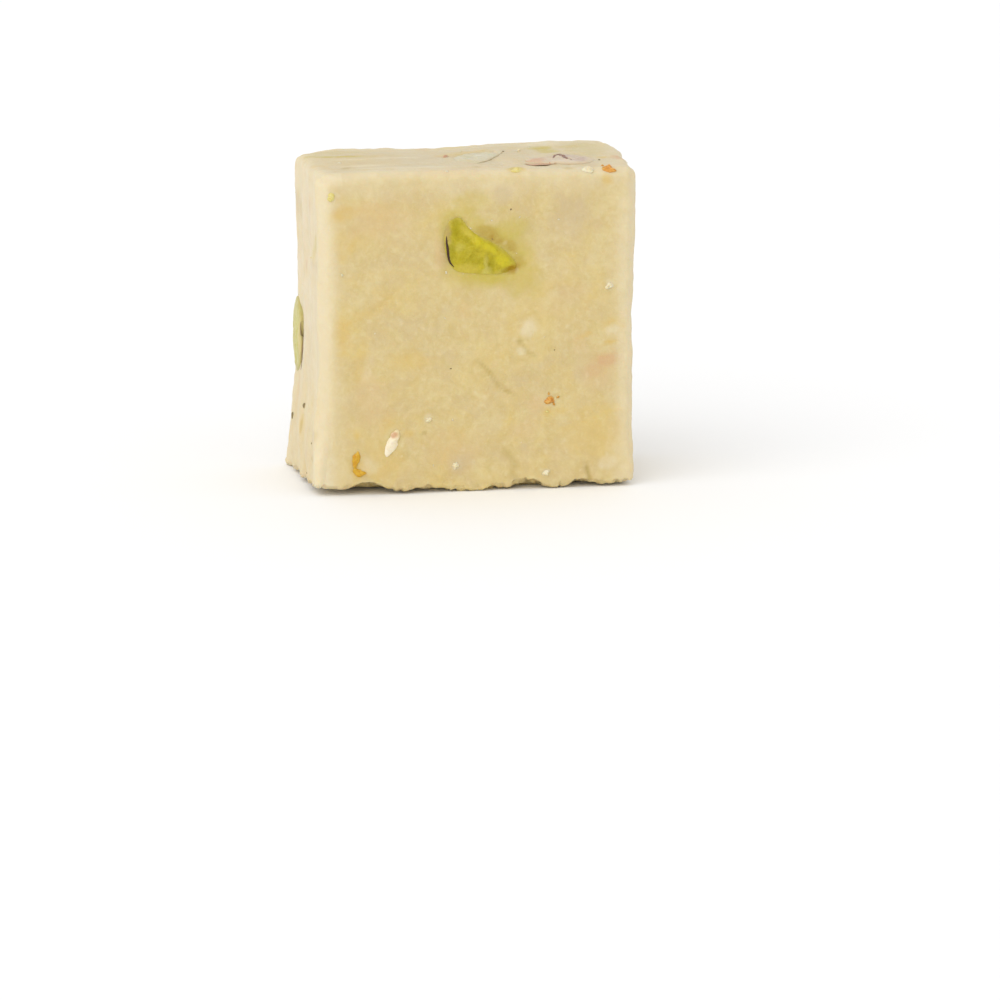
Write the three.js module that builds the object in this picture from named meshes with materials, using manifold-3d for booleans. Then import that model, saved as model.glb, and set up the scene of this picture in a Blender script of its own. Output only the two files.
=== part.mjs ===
// A bite of pistachio and dried-fruit sweet: a hand-cut block of pale dough that stands on its
// narrow side, with broken pistachios and almonds set flush in its faces.
// Millimetres, +Z up. The origin is the middle of the underside and the front looks along -Y.

import * as THREE from 'three';
import { ParametricGeometry } from 'three/addons/geometries/ParametricGeometry.js';
import { mergeVertices } from 'three/addons/utils/BufferGeometryUtils.js';
import Module from 'manifold-3d';

const wasm = await Module();
wasm.setup();

// Size of the cut block
const width = 31;
const depth = 16;
const height = 31.55;

// Rounding of its edges, how much further the handled edges are worn down, and how much less the
// cut lower edges are
const edgeRadius = 0.85;
const wornTopRight = 0.1;
const wornBackRight = 1.5;
const softFrontLeft = 0.85;
const crispFoot = 0.4;

// Where such wear begins and where it is full: shares of the way from the middle to a side
const nearSide = [0.6, 1];
const towardsBack = [0.2, 1];

// How far each corner stands from that of a true box: to the right, to the back and upwards
const cornerShift = {
  frontTopLeft: [0.1, 0, -0.25],
  frontTopRight: [-0.4, 0, -0.3],
  frontBottomLeft: [0.25, 0, 1.05],
  frontBottomRight: [-0.4, 0, 0.65],
  backTopLeft: [-0.15, 0, 0.1],
  backTopRight: [0.55, 0.2, 0.65],
  backBottomLeft: [-0.3, 0, 0.2],
  backBottomRight: [0, 0, 0.3],
};

// The soft block settles under its own weight, most in its middle, which presses its underside flat
const settle = 0.3;
const settleInMiddle = 0.6;

// The lower part of the left side bulges out where the dough has slumped
const slump = { rise: 0.65, height: 11, fullBelow: 3 };

// Broad swells and smaller lumps of the surface: height from the middle level, length, and where in
// the noise they are taken from
const swell = { height: 0.2, length: 9, offset: 0 };
const lump = { height: 0.1, length: 3.2, offset: 50 };

// Ridges that the knife left down the left and right sides, and how far and how slowly they wander
const ridge = { height: 0.13, pitch: 4.3, wander: 1.5, wanderLength: 8, wanderPlace: [7, 3] };

// How much a surface has to look to the left or right for the slump and for the ridges, and how much
// downwards for all relief to fade out, each from none to fully
const slumpFacing = [0.3, 1];
const ridgeFacing = [0.6, 1];
const reliefFade = [-0.9, -0.2];

// Crumbled notches along the lower edge: how high they are cut, how long they are along the edge,
// how far up they act and how far inwards, with the share of that after which they fade, and the
// slice of the noise. Then the deepest ones on the front, by their place across.
const notch = { height: 0.35, length: 1.9, reach: 1.6, inward: 3.2, fade: [0.4, 1], slice: 3 };
const frontNotches = [
  { across: -10.9, width: 1.3, height: 1.0 },
  { across: 4.8, width: 1.5, height: 0.85 },
  { across: 9.9, width: 1.2, height: 0.6 },
];

// Single dents and swellings: where, how wide and how high
const dents = [
  { at: [-15.5, 7.5, 18.3], reach: 1.8, rise: -0.3 },
  { at: [-15.5, 0, 24], reach: 4, rise: -0.15 },
  { at: [-15.5, 8, 31.5], reach: 2, rise: -0.6 },
  { at: [1.8, -8, 10.2], reach: 1.2, rise: -0.12 },
  { at: [5, 8, 9], reach: 5, rise: -0.25 },
  { at: [15.5, 0, 22], reach: 5, rise: -0.2 },
  { at: [0, 8, 31.5], reach: 6, rise: -0.2 },
];

// Gap between a nut and the pocket that it sits in, and how far the pocket reaches out of the face
const pocketGap = 0.3;
const pocketOpening = 3;

// How full the flanks are, from 0 for a lens to 1 for a straight wall, and how deep a bit is set
const nutFullness = 0.5;
const bitFullness = 0.2;
const bitSink = 0.45;

// Lumps of a nut's broken face: their length, and where in the noise they are taken from
const broken = { length: 1.6, offset: 20, slice: 5 };

// Grid steps across the block, round a nut and from its underside to its top
const blockSteps = [26, 14, 26];
const nutSteps = [22, 8];
const bitSteps = [7, 4];
const edgeCrowding = 0.45;

// Vertices closer than this are one
const mergeTolerance = 1e-5;

const doughColour = 0xdbc589;
const doughRoughness = 0.55;
const nutRoughness = 0.5;

// Each face's own directions: to its right, and up on it
const faces = {
  front: { right: [1, 0, 0], up: [0, 0, 1] },
  back: { right: [-1, 0, 0], up: [0, 0, 1] },
  left: { right: [0, -1, 0], up: [0, 0, 1] },
  right: { right: [0, 1, 0], up: [0, 0, 1] },
  top: { right: [1, 0, 0], up: [0, 1, 0] },
};

// Nuts. at: across and up the face. outline: round the cut, from the nut's middle, anticlockwise
// seen from outside. sink: depth below the rim. crown: height above it. rough: height of its lumps.
// proud: how far the rim stands out of the face.
const nuts = {
  pistachio_front: {
    face: 'front', at: [-0.5, 23.7], turn: 0, proud: -0.1, sink: 2.6, crown: 0.35, rough: 0.28,
    colour: 0xbfaf3a,
    outline: [
      [-1.7, 3.7], [-2.7, 2.4], [-2.6, 0.2], [-1.8, -1.6], [0.4, -2.1],
      [3.2, -2.1], [4.3, -1.5], [3.0, 0.3], [0.3, 2.0],
    ],
  },
  pistachio_left: {
    face: 'left', at: [-5.4, 13.6], turn: -3, proud: -0.15, sink: 2.4, crown: 0.3, rough: 0.06,
    colour: 0xd3cb8a,
    outline: [
      [0.3, 3.9], [-1.6, 2.6], [-2.1, -0.3], [-1.5, -2.7],
      [0.2, -3.8], [1.9, -2.4], [2.7, 0.2], [2.1, 2.6],
    ],
  },
  pistachio_top: {
    face: 'top', at: [1.2, 0.2], turn: -32, proud: -0.1, sink: 1.8, crown: 0.2, rough: 0.08,
    colour: 0xc9c79c,
    outline: [[0, 3.5], [-1.7, 2.1], [-1.9, -1.2], [-0.5, -3.4], [1.2, -2.9], [1.9, 0], [1.3, 2.6]],
  },
  almond_top: {
    face: 'top', at: [9, -2.6], turn: -8, proud: -0.1, sink: 2.1, crown: 0.3, rough: 0.15,
    colour: 0xcfa88a,
    outline: [
      [-3.4, -0.4], [-2.9, -1.5], [0.2, -2.5], [2.6, -2.1],
      [3.3, 0.2], [2.1, 2.2], [0.3, 2.9], [-1.0, 1.4],
    ],
  },
  pistachio_back: {
    face: 'back', at: [5.5, 21.5], turn: 38, proud: -0.1, sink: 2.6, crown: 0.4, rough: 0.12,
    colour: 0xbfaf3a,
    outline: [[0, 4.4], [-2.0, 2.6], [-2.4, -1.0], [-1.0, -3.9], [1.1, -3.6], [2.3, -0.6], [1.8, 2.7]],
  },
  almond_back: {
    face: 'back', at: [-7.2, 10.8], turn: -52, proud: -0.1, sink: 1.9, crown: 0.3, rough: 0.12,
    colour: 0xead9b4,
    outline: [[0, 4.3], [-1.5, 1.6], [-1.6, -2.0], [-0.5, -3.8], [1.2, -3.1], [1.6, 0.9]],
  },
  pistachio_right: {
    face: 'right', at: [-1.8, 17.4], turn: 14, proud: -0.1, sink: 2.3, crown: 0.35, rough: 0.2,
    colour: 0xbfaf3a,
    outline: [[-1.2, 3.1], [-2.5, 1.2], [-2.2, -1.4], [-0.2, -2.7], [2.4, -1.9], [2.6, 0.6], [0.9, 2.2]],
  },
};

// Small pieces that show, each fused to the dough: across and up the face, length, width, turn, rise
const bits = [
  { face: 'front', at: [-8.6, 4.8], size: [2.9, 1.3], turn: 64, rise: 0.3 },
  { face: 'front', at: [-12.0, 3.0], size: [1.6, 0.8], turn: 80, rise: 0.25 },
  { face: 'front', at: [-11.6, 1.85], size: [1.3, 0.7], turn: -10, rise: 0.25 },
  { face: 'front', at: [7.2, 8.8], size: [1.1, 0.7], turn: 12, rise: 0.2 },
  { face: 'front', at: [4.6, 15.9], size: [2.4, 1.7], turn: 30, rise: 0.12 },
  { face: 'front', at: [13.0, 19.9], size: [0.7, 0.6], turn: 0, rise: 0.22 },
  { face: 'front', at: [-2.2, 2.65], size: [0.7, 0.6], turn: 40, rise: 0.22 },
  { face: 'front', at: [6.8, 1.7], size: [0.7, 0.6], turn: 20, rise: 0.22 },
  { face: 'front', at: [-4.9, 7.3], size: [0.6, 0.5], turn: 0, rise: 0.18 },
  { face: 'front', at: [-14.2, 29.3], size: [1.0, 0.7], turn: 70, rise: 0.2 },
  { face: 'top', at: [12.95, -7.75], size: [1.5, 1.0], turn: -20, rise: 0.3 },
  { face: 'top', at: [10.9, -7.6], size: [1.1, 0.8], turn: -30, rise: 0.2 },
  { face: 'top', at: [-1.75, 0.6], size: [0.9, 0.5], turn: 70, rise: 0.15 },
  { face: 'top', at: [4.0, -7.6], size: [1.3, 0.8], turn: 5, rise: 0.12 },
  { face: 'left', at: [-4.8, 5.5], size: [0.7, 0.5], turn: 80, rise: 0.15 },
  { face: 'left', at: [-0.3, 7.2], size: [0.6, 0.4], turn: 80, rise: 0.12 },
];

// Further small pieces strewn over the two faces that can't be seen from the front left
const strewn = {
  seed: 11,
  countOnFace: { back: 12, right: 7 },
  length: [0.6, 1.9],
  slimness: [0.4, 0.8],
  rise: [0.12, 0.3],
  clearOfNut: 5.2,
  clearOfEdge: 2,
  attemptsEach: 40,
};

const whole = new THREE.Vector3(width, depth, height);
const half = whole.clone().multiplyScalar(0.5);

// 0 below the first edge, 1 above the second, and a smooth rise between
function smoothRise(low, high, x) {
  return THREE.MathUtils.smoothstep(x, low, high);
}

// A repeatable value from -1 to 1 for each point of a whole-number lattice
const latticeFactors = [73856093, 19349663, 83492791];
const mixingFactors = [2246822519, 3266489917];
function latticeValue(i, j, k) {
  let mixed = Math.imul(i, latticeFactors[0]) ^ Math.imul(j, latticeFactors[1]);
  mixed ^= Math.imul(k, latticeFactors[2]);
  mixed = Math.imul(mixed ^ (mixed >>> 15), mixingFactors[0]);
  mixed = Math.imul(mixed ^ (mixed >>> 13), mixingFactors[1]);
  mixed ^= mixed >>> 16;
  return (mixed >>> 0) / 2 ** 31 - 1;
}

// Smooth noise from -1 to 1: the lattice values blended between the eight corners of a cell
function noise(x, y, z) {
  const cell = [x, y, z].map(Math.floor);
  const share = [x, y, z].map((value, axis) => smoothRise(0, 1, value - cell[axis]));
  let sum = 0;
  for (let corner = 0; corner < 8; corner += 1) {
    const step = [corner & 1, (corner >> 1) & 1, (corner >> 2) & 1];
    const weights = step.map((s, axis) => (s ? share[axis] : 1 - share[axis]));
    const value = latticeValue(cell[0] + step[0], cell[1] + step[1], cell[2] + step[2]);
    sum += weights[0] * weights[1] * weights[2] * value;
  }
  return sum;
}

// Shift of a point between the eight corners, where u, v and w run from -1 to 1
function blendedShift(u, v, w) {
  const shift = new THREE.Vector3();
  for (const [name, move] of Object.entries(cornerShift)) {
    const acrossShare = (name.endsWith('Right') ? 1 + u : 1 - u) / 2;
    const backShare = (name.startsWith('back') ? 1 + v : 1 - v) / 2;
    const upShare = (name.includes('Top') ? 1 + w : 1 - w) / 2;
    shift.addScaledVector(new THREE.Vector3(...move), acrossShare * backShare * upShare);
  }
  return shift;
}

// Rounding of the edge nearest to a point of the block
function radiusAt(u, v, w) {
  const right = smoothRise(...nearSide, u);
  const left = smoothRise(...nearSide, -u);
  const top = smoothRise(...nearSide, w);
  const front = smoothRise(...nearSide, -v);
  const back = smoothRise(...towardsBack, v);
  const foot = smoothRise(...nearSide, -w);
  return edgeRadius + wornTopRight * right * top + wornBackRight * right * top * back
    + softFrontLeft * left * front * (1 - foot) - crispFoot * foot;
}

// Height of the surface above the plain rounded block
function reliefAt(point, out) {
  let rise = 0;
  for (const wave of [swell, lump]) {
    const place = point.clone().divideScalar(wave.length).addScalar(wave.offset);
    rise += wave.height * noise(...place.toArray());
  }
  const sideways = smoothRise(...ridgeFacing, Math.abs(out.x));
  const wander = ridge.wander * noise(...ridge.wanderPlace, point.z / ridge.wanderLength);
  rise += ridge.height * sideways * Math.sin((2 * Math.PI * (point.y + wander)) / ridge.pitch);
  const low = smoothRise(-slump.height, -slump.fullBelow, -point.z);
  rise += slump.rise * low * smoothRise(...slumpFacing, -out.x);
  for (const dent of dents) {
    const distance = point.distanceTo(new THREE.Vector3(...dent.at)) / dent.reach;
    rise += dent.rise * Math.exp(-distance * distance);
  }
  return rise;
}

// The dough's surface over a true box: u, v and w run from -1 to 1 and one of them is at its end.
// Returns the point, and the direction in which the surface faces there.
function doughSurface(u, v, w) {
  const radius = radiusAt(u, v, w);
  const boxPoint = new THREE.Vector3(u, v, w).multiply(half);
  const reach = half.clone().subScalar(radius);
  const core = boxPoint.clone().clamp(reach.clone().negate(), reach);
  const out = boxPoint.clone().sub(core).normalize();
  const point = core.addScaledVector(out, radius);
  point.add(blendedShift(u, v, w));
  point.z += half.z - settle - settleInMiddle * (1 - u * u) * ((1 - w) / 2);
  point.addScaledVector(out, reliefAt(point, out) * smoothRise(...reliefFade, out.z));
  const low = smoothRise(-notch.reach, 0, -point.z);
  const torn = noise(point.x / notch.length, point.y / notch.length, notch.slice);
  let crumbled = notch.height * Math.max(0, torn);
  for (const { across, width: spread, height: rise } of frontNotches) {
    crumbled += rise * Math.exp(-(((point.x - across) / spread) ** 2)) * smoothRise(...nearSide, -v);
  }
  const inward = Math.min(half.x * (1 - Math.abs(u)), half.y * (1 - Math.abs(v)));
  point.z += low * crumbled * (1 - smoothRise(...notch.fade, inward / notch.inward));
  return { point, out };
}

// A closed solid from a geometry, once its doubled vertices are merged and empty triangles dropped
function solidOf(geometry) {
  const plain = geometry.clone();
  plain.deleteAttribute('normal');
  plain.deleteAttribute('uv');
  const merged = mergeVertices(plain, mergeTolerance);
  const corners = merged.index.array;
  const kept = [];
  for (let i = 0; i < corners.length; i += 3) {
    const [a, b, c] = corners.slice(i, i + 3);
    if (a !== b && b !== c && c !== a) {
      kept.push(a, b, c);
    }
  }
  return new wasm.Manifold(new wasm.Mesh({
    numProp: 3,
    vertProperties: new Float32Array(merged.attributes.position.array),
    triVerts: new Uint32Array(kept),
  }));
}

function geometryOf(solid) {
  const mesh = solid.getMesh();
  const geometry = new THREE.BufferGeometry();
  geometry.setAttribute('position', new THREE.BufferAttribute(mesh.vertProperties, 3));
  geometry.setIndex(new THREE.BufferAttribute(mesh.triVerts, 1));
  geometry.computeVertexNormals();
  return geometry;
}

// The whole block, as a box whose grid is crowded towards the edges and laid on the dough's surface
function doughGeometry() {
  const geometry = new THREE.BoxGeometry(2, 2, 2, ...blockSteps);
  const crowd = (s) => s + (edgeCrowding * Math.sin(Math.PI * s)) / Math.PI;
  const position = geometry.attributes.position;
  for (let i = 0; i < position.count; i += 1) {
    const [u, v, w] = [position.getX(i), position.getY(i), position.getZ(i)].map(crowd);
    const { point } = doughSurface(u, v, w);
    position.setXYZ(i, point.x, point.y, point.z);
  }
  return geometry;
}

// Where a place on a face lies on the dough, and how a piece set there is turned
function seat({ face, at: [across, up], turn, proud = 0 }) {
  const right = new THREE.Vector3(...faces[face].right);
  const upward = new THREE.Vector3(...faces[face].up);
  const out = right.clone().cross(upward);
  const place = right.clone().multiplyScalar(across).addScaledVector(upward, up);
  if (face !== 'top') {
    place.z -= half.z;
  }
  const share = place.clone().divide(half).add(out);
  const axes = new THREE.Matrix4().makeBasis(right, upward, out);
  const rotation = new THREE.Quaternion().setFromRotationMatrix(axes);
  const turned = new THREE.Quaternion();
  turned.setFromAxisAngle(new THREE.Vector3(0, 0, 1), THREE.MathUtils.degToRad(turn));
  rotation.multiply(turned);
  const { point } = doughSurface(share.x, share.y, share.z);
  return { position: point.addScaledVector(out, proud), rotation };
}

// A pebble about its rim: s grows from 0 under it to 1 at the rim and shrinks to 0 on its top
function pebble(rimAt, { sink, crown, rough, fullness }, steps) {
  const surface = (around, rise, target) => {
    const angle = Math.PI * rise;
    const s = Math.sin(angle) ** (1 - fullness);
    const rim = rimAt(around % 1);
    const level = -Math.cos(angle);
    const x = rim.x * s;
    const y = rim.y * s;
    const lumps = noise(x / broken.length + broken.offset, y / broken.length, broken.slice);
    target.set(x, y, level * (level > 0 ? crown : sink) + rough * lumps * Math.max(0, level));
  };
  return new ParametricGeometry(surface, ...steps);
}

// A nut's rim, a smooth closed curve through its outline, moved outwards by a gap
function nutRim(outline, gap) {
  const curve = new THREE.CatmullRomCurve3(outline.map(([x, y]) => new THREE.Vector3(x, y, 0)), true);
  return (around) => {
    const point = curve.getPoint(around);
    return point.setLength(point.length() + gap);
  };
}

function nutGeometry(nut) {
  return pebble(nutRim(nut.outline, 0), { ...nut, fullness: nutFullness }, nutSteps);
}

// The pocket round a nut, open through the face
function pocketGeometry(nut) {
  const hollow = { sink: nut.sink + pocketGap, crown: pocketOpening, rough: 0, fullness: nutFullness };
  return pebble(nutRim(nut.outline, pocketGap), hollow, nutSteps);
}

function bitGeometry({ size, rise }) {
  const rim = (around) => {
    const angle = 2 * Math.PI * around;
    return new THREE.Vector3((size[0] / 2) * Math.cos(angle), (size[1] / 2) * Math.sin(angle), 0);
  };
  return pebble(rim, { sink: bitSink, crown: rise, rough: 0, fullness: bitFullness }, bitSteps);
}

// Seeded draws, so that the strewn pieces lie the same each time
function drawFrom(seed) {
  let turns = 0;
  return (low, high) => {
    turns += 1;
    return low + ((high - low) * (1 + latticeValue(seed, turns, 0))) / 2;
  };
}

// Strewn pieces keep clear of the nuts on their face and of its edges
function strewnBits() {
  const draw = drawFrom(strewn.seed);
  const placed = [];
  for (const [face, count] of Object.entries(strewn.countOnFace)) {
    const sideways = face === 'left' || face === 'right' ? half.y : half.x;
    const top = face === 'top' ? half.y : height;
    const bottom = face === 'top' ? -half.y : 0;
    const taken = [...Object.values(nuts), ...bits].filter((piece) => piece.face === face);
    let found = 0;
    for (let attempt = 0; found < count && attempt < strewn.attemptsEach * count; attempt += 1) {
      const at = [
        draw(-sideways + strewn.clearOfEdge, sideways - strewn.clearOfEdge),
        draw(bottom + strewn.clearOfEdge, top - strewn.clearOfEdge),
      ];
      const clear = taken.every((piece) => {
        const distance = Math.hypot(piece.at[0] - at[0], piece.at[1] - at[1]);
        return distance > (piece.outline ? strewn.clearOfNut : strewn.clearOfEdge);
      });
      if (clear) {
        const length = draw(...strewn.length);
        const size = [length, length * draw(...strewn.slimness)];
        const bit = { face, at, size, turn: draw(0, 180), rise: draw(...strewn.rise) };
        taken.push(bit);
        placed.push(bit);
        found += 1;
      }
    }
  }
  return placed;
}

// A geometry moved to its seat
function seated(geometry, { position, rotation }) {
  const move = new THREE.Matrix4().compose(position, rotation, new THREE.Vector3(1, 1, 1));
  return geometry.applyMatrix4(move);
}

// Everything above the surface that the sweet stands on, which cuts its underside flat
function aboveGround() {
  const geometry = new THREE.BoxGeometry(2 * width, 2 * depth, 2 * height);
  geometry.translate(0, 0, height);
  return geometry;
}

function makeBody() {
  let body = solidOf(doughGeometry());
  for (const bit of [...bits, ...strewnBits()]) {
    body = body.add(solidOf(seated(bitGeometry(bit), seat(bit))));
  }
  for (const nut of Object.values(nuts)) {
    body = body.subtract(solidOf(seated(pocketGeometry(nut), seat(nut))));
  }
  body = body.intersect(solidOf(aboveGround()));
  const material = new THREE.MeshStandardMaterial({ color: doughColour, roughness: doughRoughness });
  const mesh = new THREE.Mesh(geometryOf(body), material);
  mesh.name = 'bite_body';
  return mesh;
}

function makeNut(name, nut) {
  const material = new THREE.MeshStandardMaterial({ color: nut.colour, roughness: nutRoughness });
  const mesh = new THREE.Mesh(geometryOf(solidOf(nutGeometry(nut))), material);
  const { position, rotation } = seat(nut);
  mesh.position.copy(position);
  mesh.quaternion.copy(rotation);
  mesh.name = name;
  return mesh;
}

const bite = new THREE.Group();
bite.add(makeBody());
for (const [name, nut] of Object.entries(nuts)) {
  bite.add(makeNut(name, nut));
}

export default bite;
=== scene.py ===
import bpy
import numpy as np
from mathutils import Matrix


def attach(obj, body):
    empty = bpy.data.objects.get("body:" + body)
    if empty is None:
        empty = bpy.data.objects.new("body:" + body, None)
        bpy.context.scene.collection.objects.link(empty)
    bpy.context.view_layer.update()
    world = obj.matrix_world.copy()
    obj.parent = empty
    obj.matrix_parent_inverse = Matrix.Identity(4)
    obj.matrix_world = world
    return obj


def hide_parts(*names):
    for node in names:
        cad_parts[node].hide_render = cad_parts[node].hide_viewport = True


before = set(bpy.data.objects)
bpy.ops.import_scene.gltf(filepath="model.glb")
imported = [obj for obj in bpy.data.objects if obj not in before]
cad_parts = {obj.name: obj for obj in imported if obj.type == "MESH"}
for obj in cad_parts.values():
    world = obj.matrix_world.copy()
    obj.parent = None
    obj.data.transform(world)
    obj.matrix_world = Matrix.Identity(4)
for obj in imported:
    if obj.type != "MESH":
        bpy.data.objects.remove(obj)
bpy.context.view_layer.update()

# A bite of pistachio and dried-fruit sweet: a hand-cut block of pale dough that stands on its narrow side,
# with broken pistachios and almonds set flush in its faces.
# Shapes are worked out in millimetres, +Z up, with the front looking along -Y. A mesh is made in metres.
mm = 0.001

# Each face's own directions: to its right, and up on it
faces = {
    "front": ((1, 0, 0), (0, 0, 1)),
    "back": ((-1, 0, 0), (0, 0, 1)),
    "left": ((0, -1, 0), (0, 0, 1)),
    "right": ((0, 1, 0), (0, 0, 1)),
    "top": ((1, 0, 0), (0, 1, 0)),
}


# 0 below low, 1 above high, and 3t^2 - 2t^3 between
def smoothRise(low, high, x):
    t = np.clip((x - low) / (high - low), 0, 1)
    return t * t * (3 - 2 * t)


latticeFactors = (73856093, 19349663, 83492791)
mixingSteps = ((15, 2246822519), (13, 3266489917))


# A repeatable value from -1 to 1 for each point of a whole-number lattice: its three numbers are multiplied
# by large factors, joined by exclusive or, and mixed twice by shift and factor, in 32 bits
def latticeValue(*spot):
    value = np.uint32(0)
    for n, factor in zip(spot, latticeFactors):
        value = value ^ (np.atleast_1d(n).astype(np.int64).astype(np.uint32) * np.uint32(factor))
    for shift, factor in mixingSteps:
        value = (value ^ (value >> np.uint32(shift))) * np.uint32(factor)
    return (value ^ (value >> np.uint32(16))) / 2**31 - 1


# Smooth noise from -1 to 1: the lattice values at a cell's eight corners, blended by 3t^2 - 2t^3 along each
# axis
def noise(points):
    points = np.atleast_2d(points)
    cell = np.floor(points)
    near = smoothRise(0, 1, points - cell)
    total = np.zeros(len(points))
    for corner in range(8):
        step = np.array([corner & 1, (corner >> 1) & 1, (corner >> 2) & 1])
        weight = np.prod(np.where(step, near, 1 - near), axis=1)
        total += weight * latticeValue(*(cell + step).T)
    return total


# A sum of noises over points, each by its height, its length and its place in the noise
def ripples(point, waves):
    return sum(height * noise(point / length + key) for height, length, key in waves)


# 1 at no distance, falling off as a bell of this width
def bell(distance, width):
    return np.exp(-((distance / width) ** 2))


# Columns put side by side as points, each a number or an array
def columns(*parts):
    return np.stack(np.broadcast_arrays(*parts), axis=-1).astype(float)


# A smooth curve through a few points: between two of them a cubic whose slopes come from the four nearest
# points, spaced by the square root of their distances. Closed, or open with its end points doubled.
def smoothCurve(points, samples, closed=False):
    points = np.array(points, float)
    count = len(points) if closed else len(points) - 1
    if not closed:
        points = np.vstack([2 * points[0] - points[1], points, 2 * points[-1] - points[-2]])
    at = np.linspace(0, count, samples, endpoint=not closed)
    first = np.minimum(at.astype(int), count - 1)
    t = (at - first)[:, None]
    near = [points[(first + k + (-1 if closed else 0)) % len(points)] for k in range(4)]
    gap = [np.sqrt(np.linalg.norm(near[k + 1] - near[k], axis=1))[:, None] for k in range(3)]
    slope = [(near[k + 1] - near[k]) / gap[k] for k in range(3)]
    start = (slope[0] - (near[2] - near[0]) / (gap[0] + gap[1]) + slope[1]) * gap[1]
    end = (slope[1] - (near[3] - near[1]) / (gap[1] + gap[2]) + slope[2]) * gap[1]
    bend = 3 * (near[2] - near[1]) - 2 * start - end
    twist = 2 * (near[1] - near[2]) + start + end
    return near[1] + start * t + bend * t**2 + twist * t**3


# A face's directions to its right, upwards and outwards
def faceAxes(face):
    right, up = (np.array(side, float) for side in faces[face])
    return right, up, np.cross(right, up)


# Materials

# sRGB from 0 to 255 as linear light: a straight line near black, and a power of 2.4 above it
def colour(red, green, blue):
    c = np.array([red, green, blue]) / 255
    linear = np.where(c <= 0.04045, c / 12.92, ((c + 0.055) / 1.055) ** 2.4)
    return (*linear.tolist(), 1.0)


# A socket set to a value, or linked from another node's output
def feed(tree, socket, value):
    if isinstance(value, bpy.types.NodeSocket):
        tree.links.new(value, socket)
    else:
        socket.default_value = value


# A shader node with its settings and inputs
def add(tree, kind, inputs, **settings):
    made = tree.nodes.new("ShaderNode" + kind)
    for name, value in settings.items():
        setattr(made, name, value)
    for name, value in inputs.items():
        feed(tree, made.inputs[name], value)
    return made


# The result of an operation on values
def maths(tree, operation, *values, **settings):
    return add(tree, "Math", dict(enumerate(values)), operation=operation, **settings).outputs[0]


# A mix of two colours by a share from 0 to 1
def mixed(tree, share, first, second):
    return add(tree, "Mix", {0: share, 6: first, 7: second}, data_type="RGBA").outputs[2]


# The outputs of a noise: its value and its colour
def cloud(tree, spot, scale, detail, roughness=0.5, distortion=0.0):
    return add(tree, "TexNoise", {
        "Vector": spot, "Scale": scale, "Detail": detail, "Roughness": roughness, "Distortion": distortion,
    }).outputs


# 0 below low, 1 above high, and a smooth rise between
def softStep(tree, value, low, high):
    return add(tree, "MapRange", {"Value": value, "From Min": low, "From Max": high},
               interpolation_type="SMOOTHSTEP").outputs["Result"]


# A place moved along a vector times a factor
def pushed(tree, spot, vector, factor):
    push = add(tree, "VectorMath", {0: vector, "Scale": factor}, operation="SCALE").outputs[0]
    return add(tree, "VectorMath", {0: spot, 1: push}, operation="ADD").outputs[0]


# An empty node group with a place and other named inputs, and with one output
def newGroup(name, output, kindOfOutput, **inputs):
    tree = bpy.data.node_groups.new(name, "ShaderNodeTree")
    for socketName, kind in {"Place": "Vector", **inputs}.items():
        tree.interface.new_socket(socketName, in_out="INPUT", socket_type="NodeSocket" + kind)
    tree.interface.new_socket(output, in_out="OUTPUT", socket_type="NodeSocket" + kindOfOutput)
    given = tree.nodes.new("NodeGroupInput").outputs
    return tree, given, given["Place"], given["Scale"], tree.nodes.new("NodeGroupOutput").inputs[output]


slower = 0.2  # scale of the eddies that swirl a mottling, in its own scales


# Soft mottling: two colours mixed by a noise, with Share of the second one. Eddies, a slower noise, first
# push the place about by Swirl lengths of the pattern, which draws it out into curved streaks.
def makeMottling():
    tree, given, spot, scale, result = newGroup(
        "softMottling", "Color", "Color", First="Color", Second="Color", Scale="Float", Share="Float",
        Swirl="Float")
    eddies = cloud(tree, spot, maths(tree, "MULTIPLY", scale, slower), detail=1.0)["Color"]
    eddies = add(tree, "VectorMath", {0: eddies, 1: (0.5, 0.5, 0.5)}, operation="SUBTRACT")
    spot = pushed(tree, spot, eddies.outputs[0], maths(tree, "DIVIDE", given["Swirl"], scale))
    patches = cloud(tree, spot, scale, detail=4.0, roughness=0.62, distortion=0.6)["Fac"]
    share = softStep(tree, maths(tree, "ADD", patches, given["Share"]), low=0.74, high=1.26)
    feed(tree, result, mixed(tree, share, given["First"], given["Second"]))
    return tree


# Strewn flecks: round the middle of each cell of a warped lattice, in the cells whose own value is high
def makeFlecks():
    tree, given, spot, scale, result = newGroup(
        "strewnFlecks", "Mask", "Float", Scale="Float", Size="Float", Rarity="Float")
    warp, reach = cloud(tree, spot, scale, detail=2.0)["Color"], 0.7
    spot = pushed(tree, spot, warp, maths(tree, "DIVIDE", reach, scale))
    cells = add(tree, "TexVoronoi", {"Vector": spot, "Scale": scale}).outputs
    near = softStep(tree, cells["Distance"], low=given["Size"], high=0.02)
    value = add(tree, "SeparateColor", {"Color": cells["Color"]}).outputs[0]
    feed(tree, result, maths(tree, "MULTIPLY", near, maths(tree, "GREATER_THAN", value, given["Rarity"])))
    return tree


# Fine grain: a height from a noise, with soft crumbs of a cell pattern on it
def makeGrain():
    tree, given, spot, scale, result = newGroup("fineGrain", "Height", "Float", Scale="Float", Crumbs="Float")
    cells = add(tree, "TexVoronoi", {"Vector": spot, "Scale": scale}, feature="SMOOTH_F1")
    crumbs = maths(tree, "MULTIPLY", cells.outputs["Distance"], given["Crumbs"])
    height = cloud(tree, spot, scale, detail=3.0, roughness=0.6)["Fac"]
    feed(tree, result, maths(tree, "SUBTRACT", height, crumbs))
    return tree


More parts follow.
